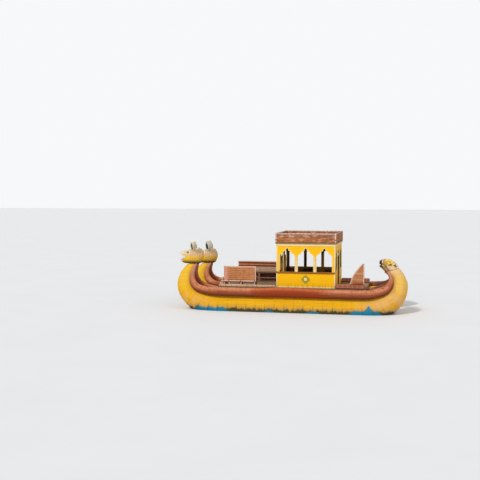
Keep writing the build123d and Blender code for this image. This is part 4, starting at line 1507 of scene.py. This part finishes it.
@dataclass
class SternHead:
    """Head at the curled-over end of the stern, looking inboard.

    Each row, neck to muzzle: outer x, z, inner x, z, half width.

    Args:
        mouth: its corner's x and z, then the z of the upper and lower lip at the tip.
        tip: the x of that tip.
        ear_at: the ear's x, how far out it is, and z.
        eye_at: the eye's x and z.
    """

    finishes: Finishes
    rows: Tuple[Row, ...] = (
        (-4.080, 2.110, -3.645, 1.980, 0.225),
        (-3.975, 2.275, -3.582, 2.045, 0.232),
        (-3.810, 2.388, -3.540, 2.090, 0.222),
        (-3.640, 2.470, -3.505, 2.120, 0.190),
        (-3.515, 2.462, -3.478, 2.142, 0.150),
        (-3.440, 2.392, -3.436, 2.188, 0.098),
    )
    mouth: Tuple[float, float, float, float] = (-3.565, 2.238, 2.345, 2.205)
    tip: float = -3.29
    ear_at: Triple = (-3.920, 0.185, 2.165)
    eye_at: Pair = (-3.767, 2.240)

    def stations(self) -> List[Station]:
        """Returns the head's rings."""
        return [Station((x0 + x1) / 2, HULL_Y, (z0 + z1) / 2, half, math.hypot(x1 - x0, z1 - z0) / 2,
                        math.atan2(x1 - x0, z1 - z0)) for x0, z0, x1, z1, half in with_halves(self.rows)]

    def build(self) -> None:
        """Makes the port head, and the starboard one from its mirrored copy, sagging."""
        f = self.finishes
        head = Bundle(self.stations(), 28, 0.03, 2).build(f["stern_head_reed"], f["black"])
        Bench.cut_wedge(head, self.mouth, self.tip, f["black"])
        parts = [head]
        for way in (1, -1):
            parts += self.eye(way) + [self.ear(way)]
        parts += [ring_band(s, -0.004, 0.006, 28, f["head_twine"]) for s in self.stations()[1:4]]
        port = Bench.join(parts, "stern_head")
        starboard = Bench.copy(port, (STERN_SAG[0], 0.0, STERN_SAG[1]), mirrored=True)
        Bench.swap(starboard, f["stern_head_reed"], f["stern_head_reed_low"])
        for piece, (_, tag) in zip((port, starboard), SIDES):
            Bench.settle([piece], f"stern_head_{tag}_reed", "head_reed", "stern_head_" + tag)

    def side_at(self, x: float, z: float) -> float:
        """Returns how far out the head's side is at a place.

        Args:
            x: place along the boat.
            z: height.
        """
        best = 0.0
        for s in self.stations():
            up = Vector((math.sin(s.lean), math.cos(s.lean)))
            across = Vector((x - s.x, z - s.z))
            along = across.dot(Vector((up.y, -up.x)))
            high = across.dot(up) / s.half_high
            if abs(along) < 0.09 and abs(high) < 1:
                best = max(best, s.half_wide * math.sqrt(1 - high * high))
        return best

    def eye(self, way: int) -> List[Piece]:
        """Makes the small black eye with its olive rim and glint.

        Args:
            way: 1 to port, -1 to starboard.

        Returns:
            The eye's pieces.
        """
        f, (x, z) = self.finishes, self.eye_at
        layers = ((0.038, 0.016, f["olive"], 0.0), (0.030, 0.024, f["black"], 0.0),
                  (0.006, 0.027, f["white"], 0.006))
        return eyeballs((x, HULL_Y + way * (self.side_at(x, z) - 0.010), z), way, layers, 0.0)

    def ear(self, way: int) -> Piece:
        """Makes the small leaf-shaped ear, folded back, its hollow dark.

        Args:
            way: 1 to port, -1 to starboard.

        Returns:
            The ear.
        """
        x, off, z = self.ear_at
        centre = (x, HULL_Y + way * off, z)
        ear = Bench.ball(20, 12, 1.0, centre)
        Bench.scale((0.058, 0.034, 0.095), centre)
        Bench.pick(ear, lambda p: p.z > z + 0.03)
        Bench.scale((0.7, 0.8, 1.0), centre)
        Bench.dress(ear, self.finishes["olive_reed"], self.finishes["olive"])
        Bench.pick(ear, lambda p: way * (p.y - centre[1]) > 0.016, "FACE")
        Bench.second(ear)
        bpy.ops.mesh.inset(thickness=0.007)
        Bench.slide((0.0, -way * 0.022, 0.0))
        Bench.edit(ear)
        Bench.turn(math.radians(-14), "Y", centre)
        Bench.turn(math.radians(-22 * way), "X", centre)
        Bench.smooth(ear, 1)
        return ear


@dataclass
class ReedMat:
    """Stacked reed rolls bound by twine, as in parapets and seat backs.

    Args:
        rows: how many rolls lie one on the other.
        bulges: swellings of a roll between its ties.
        pinch: how much a roll is drawn in at a tie, as a share.
        uneven: how much its girth varies; above nothing, a board fills the gaps from behind.
    """

    length: float
    high: float
    thick: float
    rows: int
    bulges: int
    pinch: float = 0.16
    uneven: float = 0.0

    def build(self, finish: Finish) -> Piece:
        """Makes the mat standing on the XZ plane, from the origin along +X.

        Args:
            finish: its finish.

        Returns:
            The mat, with its own map.
        """
        pitch = self.high / self.rows
        rows = [self._roll(index, pitch) for index in range(self.rows)]
        if self.uneven:
            flat, end = self.thick * 0.17, pitch * 0.3
            rows.append(Bench.box((0.01, -flat, end), (self.length - 0.01, flat, self.high - end), 0.003, 1))
            rows[-1].data.uv_layers[0].name = "run"
        return Bench.dress(Bench.join(rows, "mat"), finish)

    def _roll(self, index: int, pitch: float) -> Piece:
        """Makes one roll, pinched where the twine goes round.

        Args:
            index: which row, from below.
            pitch: the height of a row.

        Returns:
            The roll.
        """
        shift = 0.5 if index % 2 else 0.0
        step = self.length / self.bulges
        places = [(k + share - shift) * step for k in range(self.bulges + 1) for share in (0.0, 0.5)]
        stations = []
        for x in [0.0] + [x for x in places if 0.002 < x < self.length - 0.002] + [self.length]:
            phase = (x / step + shift) % 1.0
            size = 1 - self.pinch * (0.5 + 0.5 * math.cos(2 * math.pi * phase))
            wave = math.sin(5.3 * x + 2.1 * index) * math.cos(11.0 * x - 1.3 * index)
            size *= 1 - self.uneven * (0.5 + 0.5 * wave)
            stations.append(Station(x, 0.0, pitch * (index + 0.5), self.thick / 2 * size, pitch * 0.56 * size))
        return Bundle(stations, 10, 0.0, 0).build()


@dataclass
class Cabin:
    """The yellow cabin: CAD walls with paint, cream beading round the arches, cream strips on the corners."""

    finishes: Finishes
    front: float = CABIN_FORE
    aft: float = CABIN_AFT
    half: float = CABIN_HALF
    post: float = 0.09
    eaves: float = 2.95
    sill: float = 1.84

    def build(self) -> None:
        """Paints the CAD walls and adds the beading."""
        paints = {
            "cabin_yellow": ["arcade_port", "arcade_starboard", "lower_panel_port", "lower_panel_starboard",
                             "corner_posts", "fore_wall", "aft_wall"],
            "cream_trim": ["colonnettes_port", "colonnettes_starboard"],
            "sill_brown": ["sill_port", "sill_starboard"],
            "leaf_green": ["ornament_port", "ornament_starboard"],
        }
        for finish, nodes in paints.items():
            for node in nodes:
                Bench.dress(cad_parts[node], self.finishes[finish])
        under = self.eaves - 0.002
        inset = self.post + 0.004
        for side, tag in SIDES:
            self.beading("arcade_" + tag, lambda p, s=side: s * p.y > self.half - 0.001,
                         lambda p: self.sill + 0.065 < p.z < under and self.aft + inset < p.x < self.front - inset)
            self.edge_boards(side, tag)
        self.cornice()
        for x, node, way in ((self.front, "fore_wall", 1), (self.aft, "aft_wall", -1)):
            self.beading(node, lambda p, s=way, at=x: s * (p.x - at) > -0.001,
                         lambda p: DECK_TOP + 0.002 < p.z < under and abs(p.y) < self.half - inset)

    def cornice(self) -> None:
        """Runs a cream board with a bead below it round the walls, under the eaves."""
        boards, top = [], self.eaves
        for out, low, high in ((0.022, top - 0.080, top), (0.013, top - 0.094, top - 0.078)):
            x0, x1, y = self.aft - out, self.front + out, self.half + out
            for side in (PORT, STARBOARD):
                ya, yb = sorted((side * self.half, side * y))
                boards.append(Bench.box((x0, ya, low), (x1, yb, high), 0.005, 3))
            for xa, xb in ((x0, self.aft), (self.front, x1)):
                boards.append(Bench.box((xa, 0.002 - self.half, low), (xb, self.half - 0.002, high), 0.005, 3))
        self.trim(boards, "cornice_boards", "cornice")

    def trim(self, boards: Sequence[Piece], name: str, *nodes: str) -> None:
        """Paints boards cream and settles them as one piece in place of those nodes."""
        painted = [Bench.dress(board, self.finishes["cream_trim"]) for board in boards]
        Bench.settle(painted, name, "cream_trim", *nodes)

    def beading(self, node: str, face_test: Callable[[Vector], bool], edge_test: Callable[[Vector], bool]) -> None:
        """Runs a thin cream bead along the edges of a wall's openings.

        Args:
            node: the CAD wall.
            face_test: says which faces lie on the outside of the wall.
            edge_test: says which of their outline edges belong to openings.
        """
        Bench.only(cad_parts[node])
        bpy.ops.object.duplicate()
        work = bpy.context.object
        world = work.matrix_world.copy()
        work.parent = None
        work.matrix_world = world
        bpy.ops.object.transform_apply(location=True, rotation=True, scale=True)
        Bench.edit(work)
        bpy.ops.mesh.remove_doubles(threshold=0.0001)
        bpy.ops.mesh.select_mode(type="EDGE")
        bpy.ops.mesh.select_all(action="DESELECT")
        mesh = bmesh.from_edit_mesh(work.data)
        for edge in mesh.edges:
            if len(edge.link_faces) == 2 and edge.calc_face_angle(0.0) > 0.5:
                a, b = edge.verts
                middle = (a.co + b.co) / 2
                if face_test(a.co) and face_test(b.co) and edge_test(middle) and edge.calc_length() > 0.004:
                    edge.select_set(True)
        bmesh.update_edit_mesh(work.data)
        bpy.ops.mesh.select_all(action="INVERT")
        bpy.ops.mesh.delete(type="EDGE_FACE")
        Bench.only(work)
        bpy.ops.object.convert(target="CURVE")
        bead = bpy.context.object
        bead.data.bevel_depth = 0.011
        bead.data.bevel_resolution = 2
        bpy.ops.object.convert(target="MESH")
        bead = bpy.context.object
        bpy.ops.object.shade_smooth()
        Bench.dress(bead, self.finishes["bead_cream"])
        Bench.settle([bead], node + "_beading", "cream_trim")

    def edge_boards(self, side: int, tag: str) -> None:
        """Nails cream strips up the corners and along the foot of one side wall.

        Args:
            side: PORT or STARBOARD.
            tag: the side's name.
        """
        ya, yb = sorted((side * self.half, side * self.half + side * 0.010))
        strips = []
        for x0, x1 in ((self.front - 0.034, self.front + 0.008), (self.aft - 0.008, self.aft + 0.034)):
            for z0, z1 in ((DECK_TOP, self.sill), (self.sill + 0.062, self.eaves - 0.082)):
                strips.append(Bench.box((x0, ya, z0), (x1, yb, z1), 0.004))
        strips.append(Bench.box((self.aft + 0.035, ya, DECK_TOP), (self.front - 0.035, yb, DECK_TOP + 0.045), 0.004))
        self.trim(strips, "corner_strips_" + tag)


@dataclass
class RoofTerrace:
    """Roof deck and the reed parapet round it.

    Args:
        floor: the height on which the parapet stands.
        rows: its reed rolls below the top roll.
        bulges: swellings of a roll between its ties.
    """

    finishes: Finishes
    front: float = 0.525
    aft: float = -1.77
    half: float = 1.245
    floor: float = 3.00
    high: float = 0.35
    thick: float = 0.07
    rows: int = 5
    bulges: int = 15

    def build(self) -> None:
        """Makes the four parapet sides, each of stacked reed rolls with a pale top roll."""
        y, width = self.half - self.thick / 2, 2 * (self.half - self.thick)
        places = [(self.aft, side * y, self.floor) for side, _ in SIDES]
        sides = Bench.spread(self.panel(self.front - self.aft), places)
        places = [(x, -width / 2, self.floor) for x in (self.front - self.thick / 2, self.aft + self.thick / 2)]
        ends = Bench.spread(self.panel(width), places, QUARTER)
        for piece, tag in zip(sides + ends, ("port", "starboard", "fore", "aft")):
            Bench.settle([piece], "parapet_reed_" + tag, "woven_reed", "parapet_" + tag)
        poles, radius, maker = [], 0.030, Poles(self.finishes)
        foot, top = 2.99, self.floor + self.high + 0.012
        for x in (self.front - radius, self.aft + radius):
            for y in (self.half - radius, radius - self.half):
                poles.append(maker.pole((x, y, foot), (x, y, top), radius, 2, "pale_pole"))
                poles += maker.knot((x, y, self.floor + 0.10), 0.032, Lie.UPRIGHT)
        Bench.settle(poles, "parapet_poles", "pale_pole")
        self.roof_boards()
        Bench.dress(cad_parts["roof_deck"], self.finishes["deck_wood"])

    def panel(self, length: float) -> Piece:
        """Makes one parapet side from the origin along +X: rolls, pale top roll, upright lacing.

        Args:
            length: its length.

        Returns:
            The side.
        """
        f = self.finishes
        row, parts = (self.high - 0.045) / self.rows, []
        for count, foot, finish in ((3, 0, "parapet_reed"), (self.rows - 3, 3, "parapet_dusty")):
            mat = ReedMat(length, row * count, self.thick, count, self.bulges, 0.24, 0.16).build(f[finish])
            parts += Bench.spread(mat, [(0.0, 0.0, row * foot)])
        stations = []
        count = 4 * self.bulges
        for i in range(count + 1):
            size = 1.0 - 0.10 * (0.5 + 0.5 * math.cos(math.pi * i))
            stations.append(Station(length * i / count, 0.0, self.high - 0.026, self.thick / 2 * size, 0.027 * size))
        parts.append(Bundle(stations, 12, 0.0, 1).build(f["rail_reed"]))
        for i in range(1, self.bulges):
            place = Station(length * i / self.bulges, 0.0, self.high - 0.026, self.thick / 2 * 0.9, 0.025)
            parts.append(ring_band(place, 0.001, 0.004, 16, f["roll_reed_twine"]))
        return Bench.join(parts, "parapet_side")

    def roof_boards(self) -> None:
        """Lays straw matting strips on the roof, inside the parapet."""
        x0, x1, y = self.aft + self.thick + 0.02, self.front - self.thick - 0.02, self.half - self.thick - 0.02
        count = int(2 * y / 0.30)
        wide = 2 * y / count
        strip = Bench.box((x0, 0.006, self.floor), (x1, wide - 0.006, self.floor + 0.012), 0.005)
        Bench.dress(strip, self.finishes["mat_reed"])
        strips = Bench.spread(strip, [(0, -y + i * wide, 0) for i in range(count)])
        Bench.settle(strips, "roof_matting", "deck_wood")


@dataclass
class Decks:
    """Planks across the beams, one field at a time, with matting on the aft deck."""

    finishes: Finishes
    half: float = 1.42
    thick: float = 0.04
    gap: float = 0.008

    def build(self) -> None:
        """Planks the three deck fields and dresses the beams."""
        f = self.finishes
        for node, x0, x1, count in (("fore_deck", CABIN_FORE, DECK_FORE, 18),
                                    ("cabin_floor", CABIN_AFT, CABIN_FORE, 18),
                                    ("aft_deck", DECK_AFT, CABIN_AFT, 9)):
            step = (x1 - x0) / count
            plank = Bench.box((0, -self.half, DECK_TOP - self.thick), (step - self.gap, self.half, DECK_TOP), 0.005)
            Bench.dress(plank, f["deck_wood"])
            planks = Bench.spread(plank, [(x0 + self.gap / 2 + i * step, 0, 0) for i in range(count)])
            Bench.settle(planks, node + "_planks", "deck_wood", node)
        Bench.dress(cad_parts["cross_beams"], f["beam_wood"])
        mat = ReedMat(1.06, 2.0, 0.014, 22, 1, 0.0).build(f["mat_reed"])
        Bench.lay(mat, Lie.FLAT, (-2.82, -1.0, DECK_TOP + 0.007))
        Bench.settle([mat], "aft_deck_mat", "deck_wood")
        self.edge_rolls()
        self.lashings()

    def edge_rolls(self) -> None:
        """Lays a thin pale reed roll along both edges of the fore deck, tied to it."""
        made = []
        for side in (PORT, STARBOARD):
            stations = []
            for i in range(41):
                size = 1.0 + 0.10 * math.sin(2.9 * i) * math.cos(0.7 * i)
                stations.append(Station(0.50 + 2.16 * i / 40, side * 1.402, DECK_TOP + 0.052,
                                        0.030 * size, 0.052 * size))
            made.append(Bundle(stations, 14, 0.05, 1).build(self.finishes["edge_reed"]))
            made += [ring_band(stations[2 + int(3.7 * i)], 0.001, 0.004, 16, self.finishes["roll_reed_twine"])
                     for i in range(11)]
        Bench.settle(made, "deck_edge_rolls", "woven_reed")

    def lashings(self) -> None:
        """Winds rope round both ends of every cross beam."""
        made = []
        middle, spacing, pitch = -0.09, 0.67, 0.014
        for i in range(9):
            for y in (-1.335, -0.95, 0.95, 1.335):
                for k in (-1, 0, 1):
                    rope = ring_band(Station(0.0, 0.0, 0.0, 0.057, 0.043), 0.0, 0.006, 16,
                                     self.finishes["roll_reed_twine"])
                    made.append(Bench.lay(rope, Lie.ACROSS, (middle + (i - 4) * spacing, y + pitch * k, 1.22)))
        Bench.settle(made, "beam_lashings", "deck_wood")


@dataclass
class Seats:
    """Benches fore and aft and their woven backs."""

    finishes: Finishes
    back_foot: float = 1.48
    back_foot_far: float = 1.34
    back_top: float = 2.08
    thick: float = 0.05
    seat_top: float = 1.68
    seat_fore: float = 2.51
    port_aft: float = 1.26
    starboard_aft: float = 0.615
    inner: float = 0.83
    outer: float = 1.24
    aft_seat_high: float = 0.17

    def build(self) -> None:
        """Weaves the backs, and builds the benches."""
        self.back("fore_back_port", self.port_aft, 1.265, False)
        self.back("fore_back_starboard", self.starboard_aft, -1.265, True)
        self.bench("port", PORT, self.port_aft)
        self.bench("starboard", STARBOARD, self.starboard_aft)
        for side, tag in SIDES:
            self.aft_seat(side, tag)
        self.wedge()

    def bench(self, tag: str, side: int, x0: float) -> None:
        """Makes one fore bench: four slats, rails, six legs and a foot rail.

        Args:
            tag: the side's name.
            side: PORT or STARBOARD.
            x0: its aft end.
        """
        boards = []
        x1, inner, outer, leg, under = self.seat_fore, self.inner, self.outer, 0.06, self.seat_top - 0.022

        def put(xa: float, xb: float, ya: float, yb: float, za: float, zb: float) -> None:
            """Adds a board between two corners, y outwards."""
            low, high = sorted((side * ya, side * yb))
            board = Bench.box((xa, low, za), (xb, high, zb), 0.006)
            boards.append(Bench.dress(board, self.finishes["seat_wood"]))

        wide = (outer - inner) / 4
        for i in range(4):
            put(x0, x1, inner + i * wide + 0.004, inner + (i + 1) * wide - 0.004, under, self.seat_top)
        for y in (inner + 0.03, outer - 0.09):
            put(x0 + 0.02, x1 - 0.02, y + 0.012, y + 0.048, self.seat_top - 0.062, under)
        for x in (x0 + leg, (x0 + x1) / 2, x1 - leg):
            for y in (inner + leg, outer - leg):
                put(x - leg / 2, x + leg / 2, y - leg / 2, y + leg / 2, DECK_TOP, under)
        put(x0 + leg, x1 - leg, inner + leg - 0.014, inner + leg + 0.014, DECK_TOP + 0.12, DECK_TOP + 0.16)
        Bench.settle(boards, "fore_bench_wood_" + tag, "deck_wood", "fore_bench_" + tag)

    def back(self, node: str, x0: float, y: float, far: bool) -> None:
        """Makes a woven back along one side: its mats, two end posts, a top rail and flat rails.

        Args:
            node: the CAD node it stands for.
            x0: its aft end.
            y: its middle plane.
            far: whether it is the starboard one, with three fields of mat and dark red rails.
        """
        f, t, x1 = self.finishes, self.thick / 2, self.seat_fore
        top = self.back_top - 0.036
        if far:
            foot, broad, post_finish = self.back_foot_far, 0.042, "rail_reed"
            fields = ((foot, 1.66, 6, "mauve_reed"), (1.68, 1.865, 4, "beige_reed"), (1.90, top, 3, "woven_reed"))
            rails = ((1.656, 1.684, "rail_reed"), (1.862, 1.902, "dark_red"), (1.985, 2.030, "dark_red"))
        else:
            foot, broad, post_finish = self.back_foot, 0.190, "salmon_reed"
            fields = ((foot, top, 8, "woven_reed"),)
            rails = ((foot + 0.004, foot + 0.034, "rail_reed"),)
        parts = []
        for low, high, rows, finish in fields:
            mat = ReedMat(x1 - x0 - 0.08, high - low, self.thick - 0.008, rows, round((x1 - x0) / 0.12), 0.16, 0.14)
            parts += Bench.spread(mat.build(f[finish]), [(x0 + 0.04, y, low)])
        parts.append(Bench.box((x0, y - t, top - 0.012), (x1, y + t, self.back_top), 0.014, 3))
        parts.append(Bench.box((x0, y - t, foot), (x0 + 0.042, y + t, top), 0.010))
        for board in parts[-2:]:
            Bench.dress(board, f["rail_reed"])
        line = [Station(foot + (top - foot) * k / 12, 0.0, 0.0, t, broad / 2 * (1.0 - 0.07 * (k % 2)))
                for k in range(13)]
        post = Bundle(line, 14, 0.04, 1).build(f[post_finish])
        parts.append(Bench.lay(post, Lie.UPRIGHT, (x1 - broad / 2, y, 0.0)))
        for low, high, finish in rails:
            for way in (-1, 1):
                middle = y + way * (t - 0.006)
                strip = Bench.box((x0 + 0.04, middle - 0.006, low), (x1 - 0.04, middle + 0.006, high), 0.003)
                parts.append(Bench.dress(strip, f[finish]))
        Bench.settle(parts, node + "_weave", "woven_reed", node)

    def aft_seat(self, side: int, tag: str) -> None:
        """Makes one low aft seat: six reed rolls in two layers, with pale ties.

        Args:
            side: PORT or STARBOARD.
            tag: the side's name.
        """
        f = self.finishes
        x0, length, middle = -2.84, 1.09, side * 1.20
        parts = []
        for k, (off, up, r) in enumerate(((-0.135, 0.055, 0.055), (0.0, 0.055, 0.055), (0.135, 0.055, 0.055),
                                          (-0.110, 0.118, 0.052), (0.0, 0.118, 0.052), (0.110, 0.118, 0.052))):
            stations = []
            for i in range(29):
                x = x0 + 0.004 + (length - 0.008) * i / 28
                size = 1.0 - 0.10 * (0.5 + 0.5 * math.cos(math.pi * i / 2 + k))
                stations.append(Station(x, middle + off, DECK_TOP + up, r * 1.12 * size, r * size * 0.96))
            parts.append(Bundle(stations, 16, 0.05, 1).build(f["seat_reed"]))
        for i in range(6):
            place = Station(x0 + 0.10 + i * 0.178, middle, DECK_TOP + 0.085, 0.186, 0.082)
            parts.append(ring_band(place, 0.0, 0.006, 32, f["rail_reed"]))
        Bench.settle(parts, "aft_seat_reed_" + tag, "seat_reed", "aft_bench_" + tag)

    def wedge(self) -> None:
        """Makes the triangular back on the port aft seat: upright reeds, a pale rim, a pale aft post."""
        f = self.finishes
        z, y = DECK_TOP + self.aft_seat_high, 1.22
        rim = [(-2.298, z), (-2.360, z + 0.246), (-2.492, z + 0.462), (-2.758, z + 0.786)]

        def top_at(x: float) -> float:
            """Returns the rim's height over a place along the boat."""
            for (xa, za), (xb, zb) in zip(rim, rim[1:]):
                if xb <= x <= xa:
                    return za + (zb - za) * (x - xa) / (xb - xa)
            return rim[-1][1]

        parts = []
        for x in (-2.315 - 0.0335 * i for i in range(15)):
            tall = top_at(x) - z - 0.012
            if tall < 0.03:
                continue
            pinches = [1 - 0.12 * (k % 2) for k in range(7)]
            stations = [Station(tall * k / 6, 0.0, 0.0, 0.018 * p, 0.020 * p) for k, p in enumerate(pinches)]
            reed = Bundle(stations, 10, 0.0, 0).build(f["woven_reed"])
            parts.append(Bench.lay(reed, Lie.UPRIGHT, (x, y, z)))
        edge = rim + [(-2.782, z + 0.790), (-2.788, z + 0.40), (-2.788, z + 0.004)]
        line = []
        for i, (x, up) in enumerate(edge):
            before, after = edge[max(i - 1, 0)], edge[min(i + 1, len(edge) - 1)]
            lean = math.atan2(after[0] - before[0], after[1] - before[1]) - QUARTER
            line.append(Station(x, y, up, 0.029, 0.026, lean))
        parts.append(Bundle(line, 10, 0.0, 1).build(f["rail_reed"]))
        for share in (0.22, 0.5):
            up = z + 0.8 * share
            fore = max(x for x in (-2.30 - 0.005 * k for k in range(100)) if top_at(x) > up + 0.02)
            line = [Station(fore - (fore + 2.79) * k / 4, y + 0.019, up, 0.005, 0.011) for k in range(5)]
            parts.append(Bundle(line, 8, 0.0, 1).build(f["rail_reed"]))
        Bench.settle(parts, "wedge_back_reed", "woven_reed", "wedge_back")


@dataclass
class Poles:
    """Rails, posts and the ladder, of rough peeled poles lashed together."""

    finishes: Finishes
    rail_y: float = 1.35
    rail_z: float = 1.523
    ladder_x: float = 0.55
    ladder_poles: Pair = (-1.05, -0.60)
    mooring_at: Pair = (2.62, 1.01)

    def pole(self, start: Triple, end: Triple, radius: float, knots: int, finish: str) -> Piece:
        """Makes one peeled pole with knots and slightly uneven girth.

        Args:
            start: one end's middle.
            end: the other end's middle.
            radius: its radius.
            knots: how many swellings.
            finish: its finish.

        Returns:
            The pole.
        """
        way = Vector(end) - Vector(start)
        count = 4 * knots
        stations = []
        for i in range(count + 1):
            size = radius * (0.90 + (0.10 if i % 4 == 2 else 0.0) + 0.025 * math.sin(3.7 * i))
            bow = 0.10 * radius * math.sin(math.pi * i / count)
            stations.append(Station(way.length * i / count, bow, 0.0, size, size))
        made = Bundle(stations, 12, 0.0, 1).build(self.finishes[finish])
        lie = Lie.UPRIGHT if way.z else Lie.ACROSS if way.y else Lie.ALONG
        return Bench.lay(made, lie, start)

    def knot(self, spot: Triple, radius: float, lie: Lie) -> List[Piece]:
        """Winds three turns of cord round a pole of that radius and lie, and returns them."""
        return [Bench.lay(ring_band(Station(0.011 * k, 0.0, 0.0, radius, radius), 0.002, 0.005, 14,
                                    self.finishes["roll_reed_twine"]), lie, spot) for k in (-1, 0, 1)]

    def build(self) -> None:
        """Makes all the poles."""
        z = self.rail_z
        for side, tag in SIDES:
            y = side * self.rail_y
            parts = [self.pole((1.262, y, z), (2.638, y, z), 0.023, 5, "pale_rail")]
            for x in (1.295, 1.820, 2.280, 2.605):
                parts.append(self.pole((x, y, DECK_TOP), (x, y, 1.515), 0.022, 2, "pale_pole"))
                parts += self.knot((x, y, 1.490), 0.021, Lie.UPRIGHT)
                parts += self.knot((x + 0.012, y, z), 0.022, Lie.ALONG)
            Bench.settle(parts, "side_rail_poles_" + tag, "pale_pole", "side_rail_" + tag)
        self.mooring()
        self.ladder()

    def mooring(self) -> None:
        """Makes the two mooring posts: rounded heads, a groove, rope turns below it."""
        f = self.finishes
        parts = []
        for side in (PORT, STARBOARD):
            x, y, tall = self.mooring_at[0], side * self.mooring_at[1], 0.33
            Bench.clear()
            bpy.ops.mesh.primitive_cylinder_add(vertices=24, radius=0.04, depth=tall,
                                                location=(x, y, DECK_TOP + tall / 2))
            post = bpy.context.object
            Bench.edit(post)
            Bench.pick(post, lambda p: p.z > DECK_TOP + 0.32, "FACE")
            bpy.ops.mesh.inset(thickness=0.010)
            Bench.slide((0, 0, -0.004))
            Bench.bevel(post, 0.006, 3)
            parts.append(Bench.dress(post, f["pale_pole"]))
            for k in range(5):
                rope = ring_band(Station(0.0, 0.0, 0.0, 0.040, 0.040), 0.004, 0.0065, 20, f["roll_reed_twine"])
                parts.append(Bench.lay(rope, Lie.UPRIGHT, (x, y, DECK_TOP + 0.17 + 0.0135 * k)))
        Bench.settle(parts, "mooring_posts_wood", "pale_pole", "mooring_posts")

    def ladder(self) -> None:
        """Makes the ladder: two peeled poles, seven lashed rungs."""
        x, (y0, y1) = self.ladder_x, self.ladder_poles
        parts = [self.pole((x, y, DECK_TOP), (x, y, 3.328), 0.024, 7, "pale_pole") for y in (y0, y1)]
        for z in (1.56 + 0.27 * i for i in range(7)):
            parts.append(self.pole((x, y0 - 0.01, z), (x, y1 + 0.01, z), 0.0165, 2, "pale_rail"))
            for y in (y0, y1):
                parts += self.knot((x, y, z - 0.004), 0.0235, Lie.UPRIGHT)
        Bench.settle(parts, "ladder_poles", "pale_pole", "ladder")


@dataclass
class Studio:
    """Floor at the waterline, pale room, soft lamps and the camera."""

    camera_at: Triple = (-5.09, 32.69, 4.85)
    heading: float = math.radians(12.5)
    dip: float = math.radians(3.16)
    lens: float = 63.75

    def build(self) -> None:
        """Sets up all of it."""
        self.floor()
        self.world()
        self.lamps()
        self.camera()
        bpy.context.scene.view_settings.view_transform = "Standard"

    def floor(self) -> None:
        """Lays the pale floor."""
        Bench.clear()
        bpy.ops.mesh.primitive_plane_add(size=400.0, location=(0, 0, WATERLINE))
        floor = bpy.context.object
        floor.name = "studio_floor"
        d = NodeDesk("studio_floor")
        colour = d.over((0.78, 0.78, 0.78), (0.82, 0.82, 0.82), d.noise(d.place, 0.4, 2.0))
        Bench.dress(floor, d.close(colour, 0.9, 0.1))

    def world(self) -> None:
        """Makes the pale room: light for the boat, white for the eye."""
        world = bpy.data.worlds.new("studio")
        bpy.context.scene.world = world
        world.use_nodes = True
        tree = world.node_tree
        tree.nodes.clear()
        shades = []
        for colour, strength in (((0.95, 0.97, 1.0, 1.0), 0.60), ((0.93, 0.94, 0.95, 1.0), 1.0)):
            shades.append(tree.nodes.new("ShaderNodeBackground"))
            shades[-1].inputs["Color"].default_value = colour
            shades[-1].inputs["Strength"].default_value = strength
        path = tree.nodes.new("ShaderNodeLightPath")
        most = tree.nodes.new("ShaderNodeMath")
        most.operation = "MAXIMUM"
        pick = tree.nodes.new("ShaderNodeMixShader")
        out = tree.nodes.new("ShaderNodeOutputWorld")
        for source, socket in ((path.outputs["Is Camera Ray"], most.inputs[0]),
                               (path.outputs["Is Glossy Ray"], most.inputs[1]), (most.outputs[0], pick.inputs[0]),
                               (shades[0].outputs[0], pick.inputs[1]), (shades[1].outputs[0], pick.inputs[2]),
                               (pick.outputs[0], out.inputs[0])):
            tree.links.new(source, socket)

    def lamps(self) -> None:
        """Hangs one high sun-like key and one soft fill."""
        for name, energy, angle, tilt, round_z in (("key", 1.74, 0.12, 48, 158), ("fill", 0.42, 1.0, 60, 235)):
            lamp = bpy.data.lights.new(name, "SUN")
            lamp.energy = energy
            lamp.angle = angle
            holder = bpy.data.objects.new(name, lamp)
            holder.rotation_euler = (math.radians(tilt), 0.0, math.radians(round_z))
            bpy.context.collection.objects.link(holder)

    def camera(self) -> None:
        """Places the camera at the photograph's angle."""
        lens = bpy.data.cameras.new("camera")
        lens.lens = self.lens
        lens.sensor_width = 36.0
        lens.clip_end = 500.0
        holder = bpy.data.objects.new("camera", lens)
        look = Vector((math.sin(self.heading) * math.cos(self.dip), -math.cos(self.heading) * math.cos(self.dip),
                       -math.sin(self.dip)))
        holder.location = self.camera_at
        holder.rotation_euler = look.to_track_quat("-Z", "Y").to_euler()
        bpy.context.collection.objects.link(holder)
        bpy.context.scene.camera = holder


def main() -> None:
    """Builds the boat's looks, sub-assembly by sub-assembly."""
    logging.basicConfig(level=logging.INFO, format="%(name)s: %(message)s")
    finishes = Finishes()
    for part in (Hull(finishes), BowHead(finishes), SternHead(finishes), Cabin(finishes),
                 RoofTerrace(finishes), Decks(finishes), Seats(finishes), Poles(finishes), Studio()):
        part.build()
        log.info("%s done", type(part).__name__)
    bpy.context.view_layer.update()


if __name__ == "__main__":
    main()
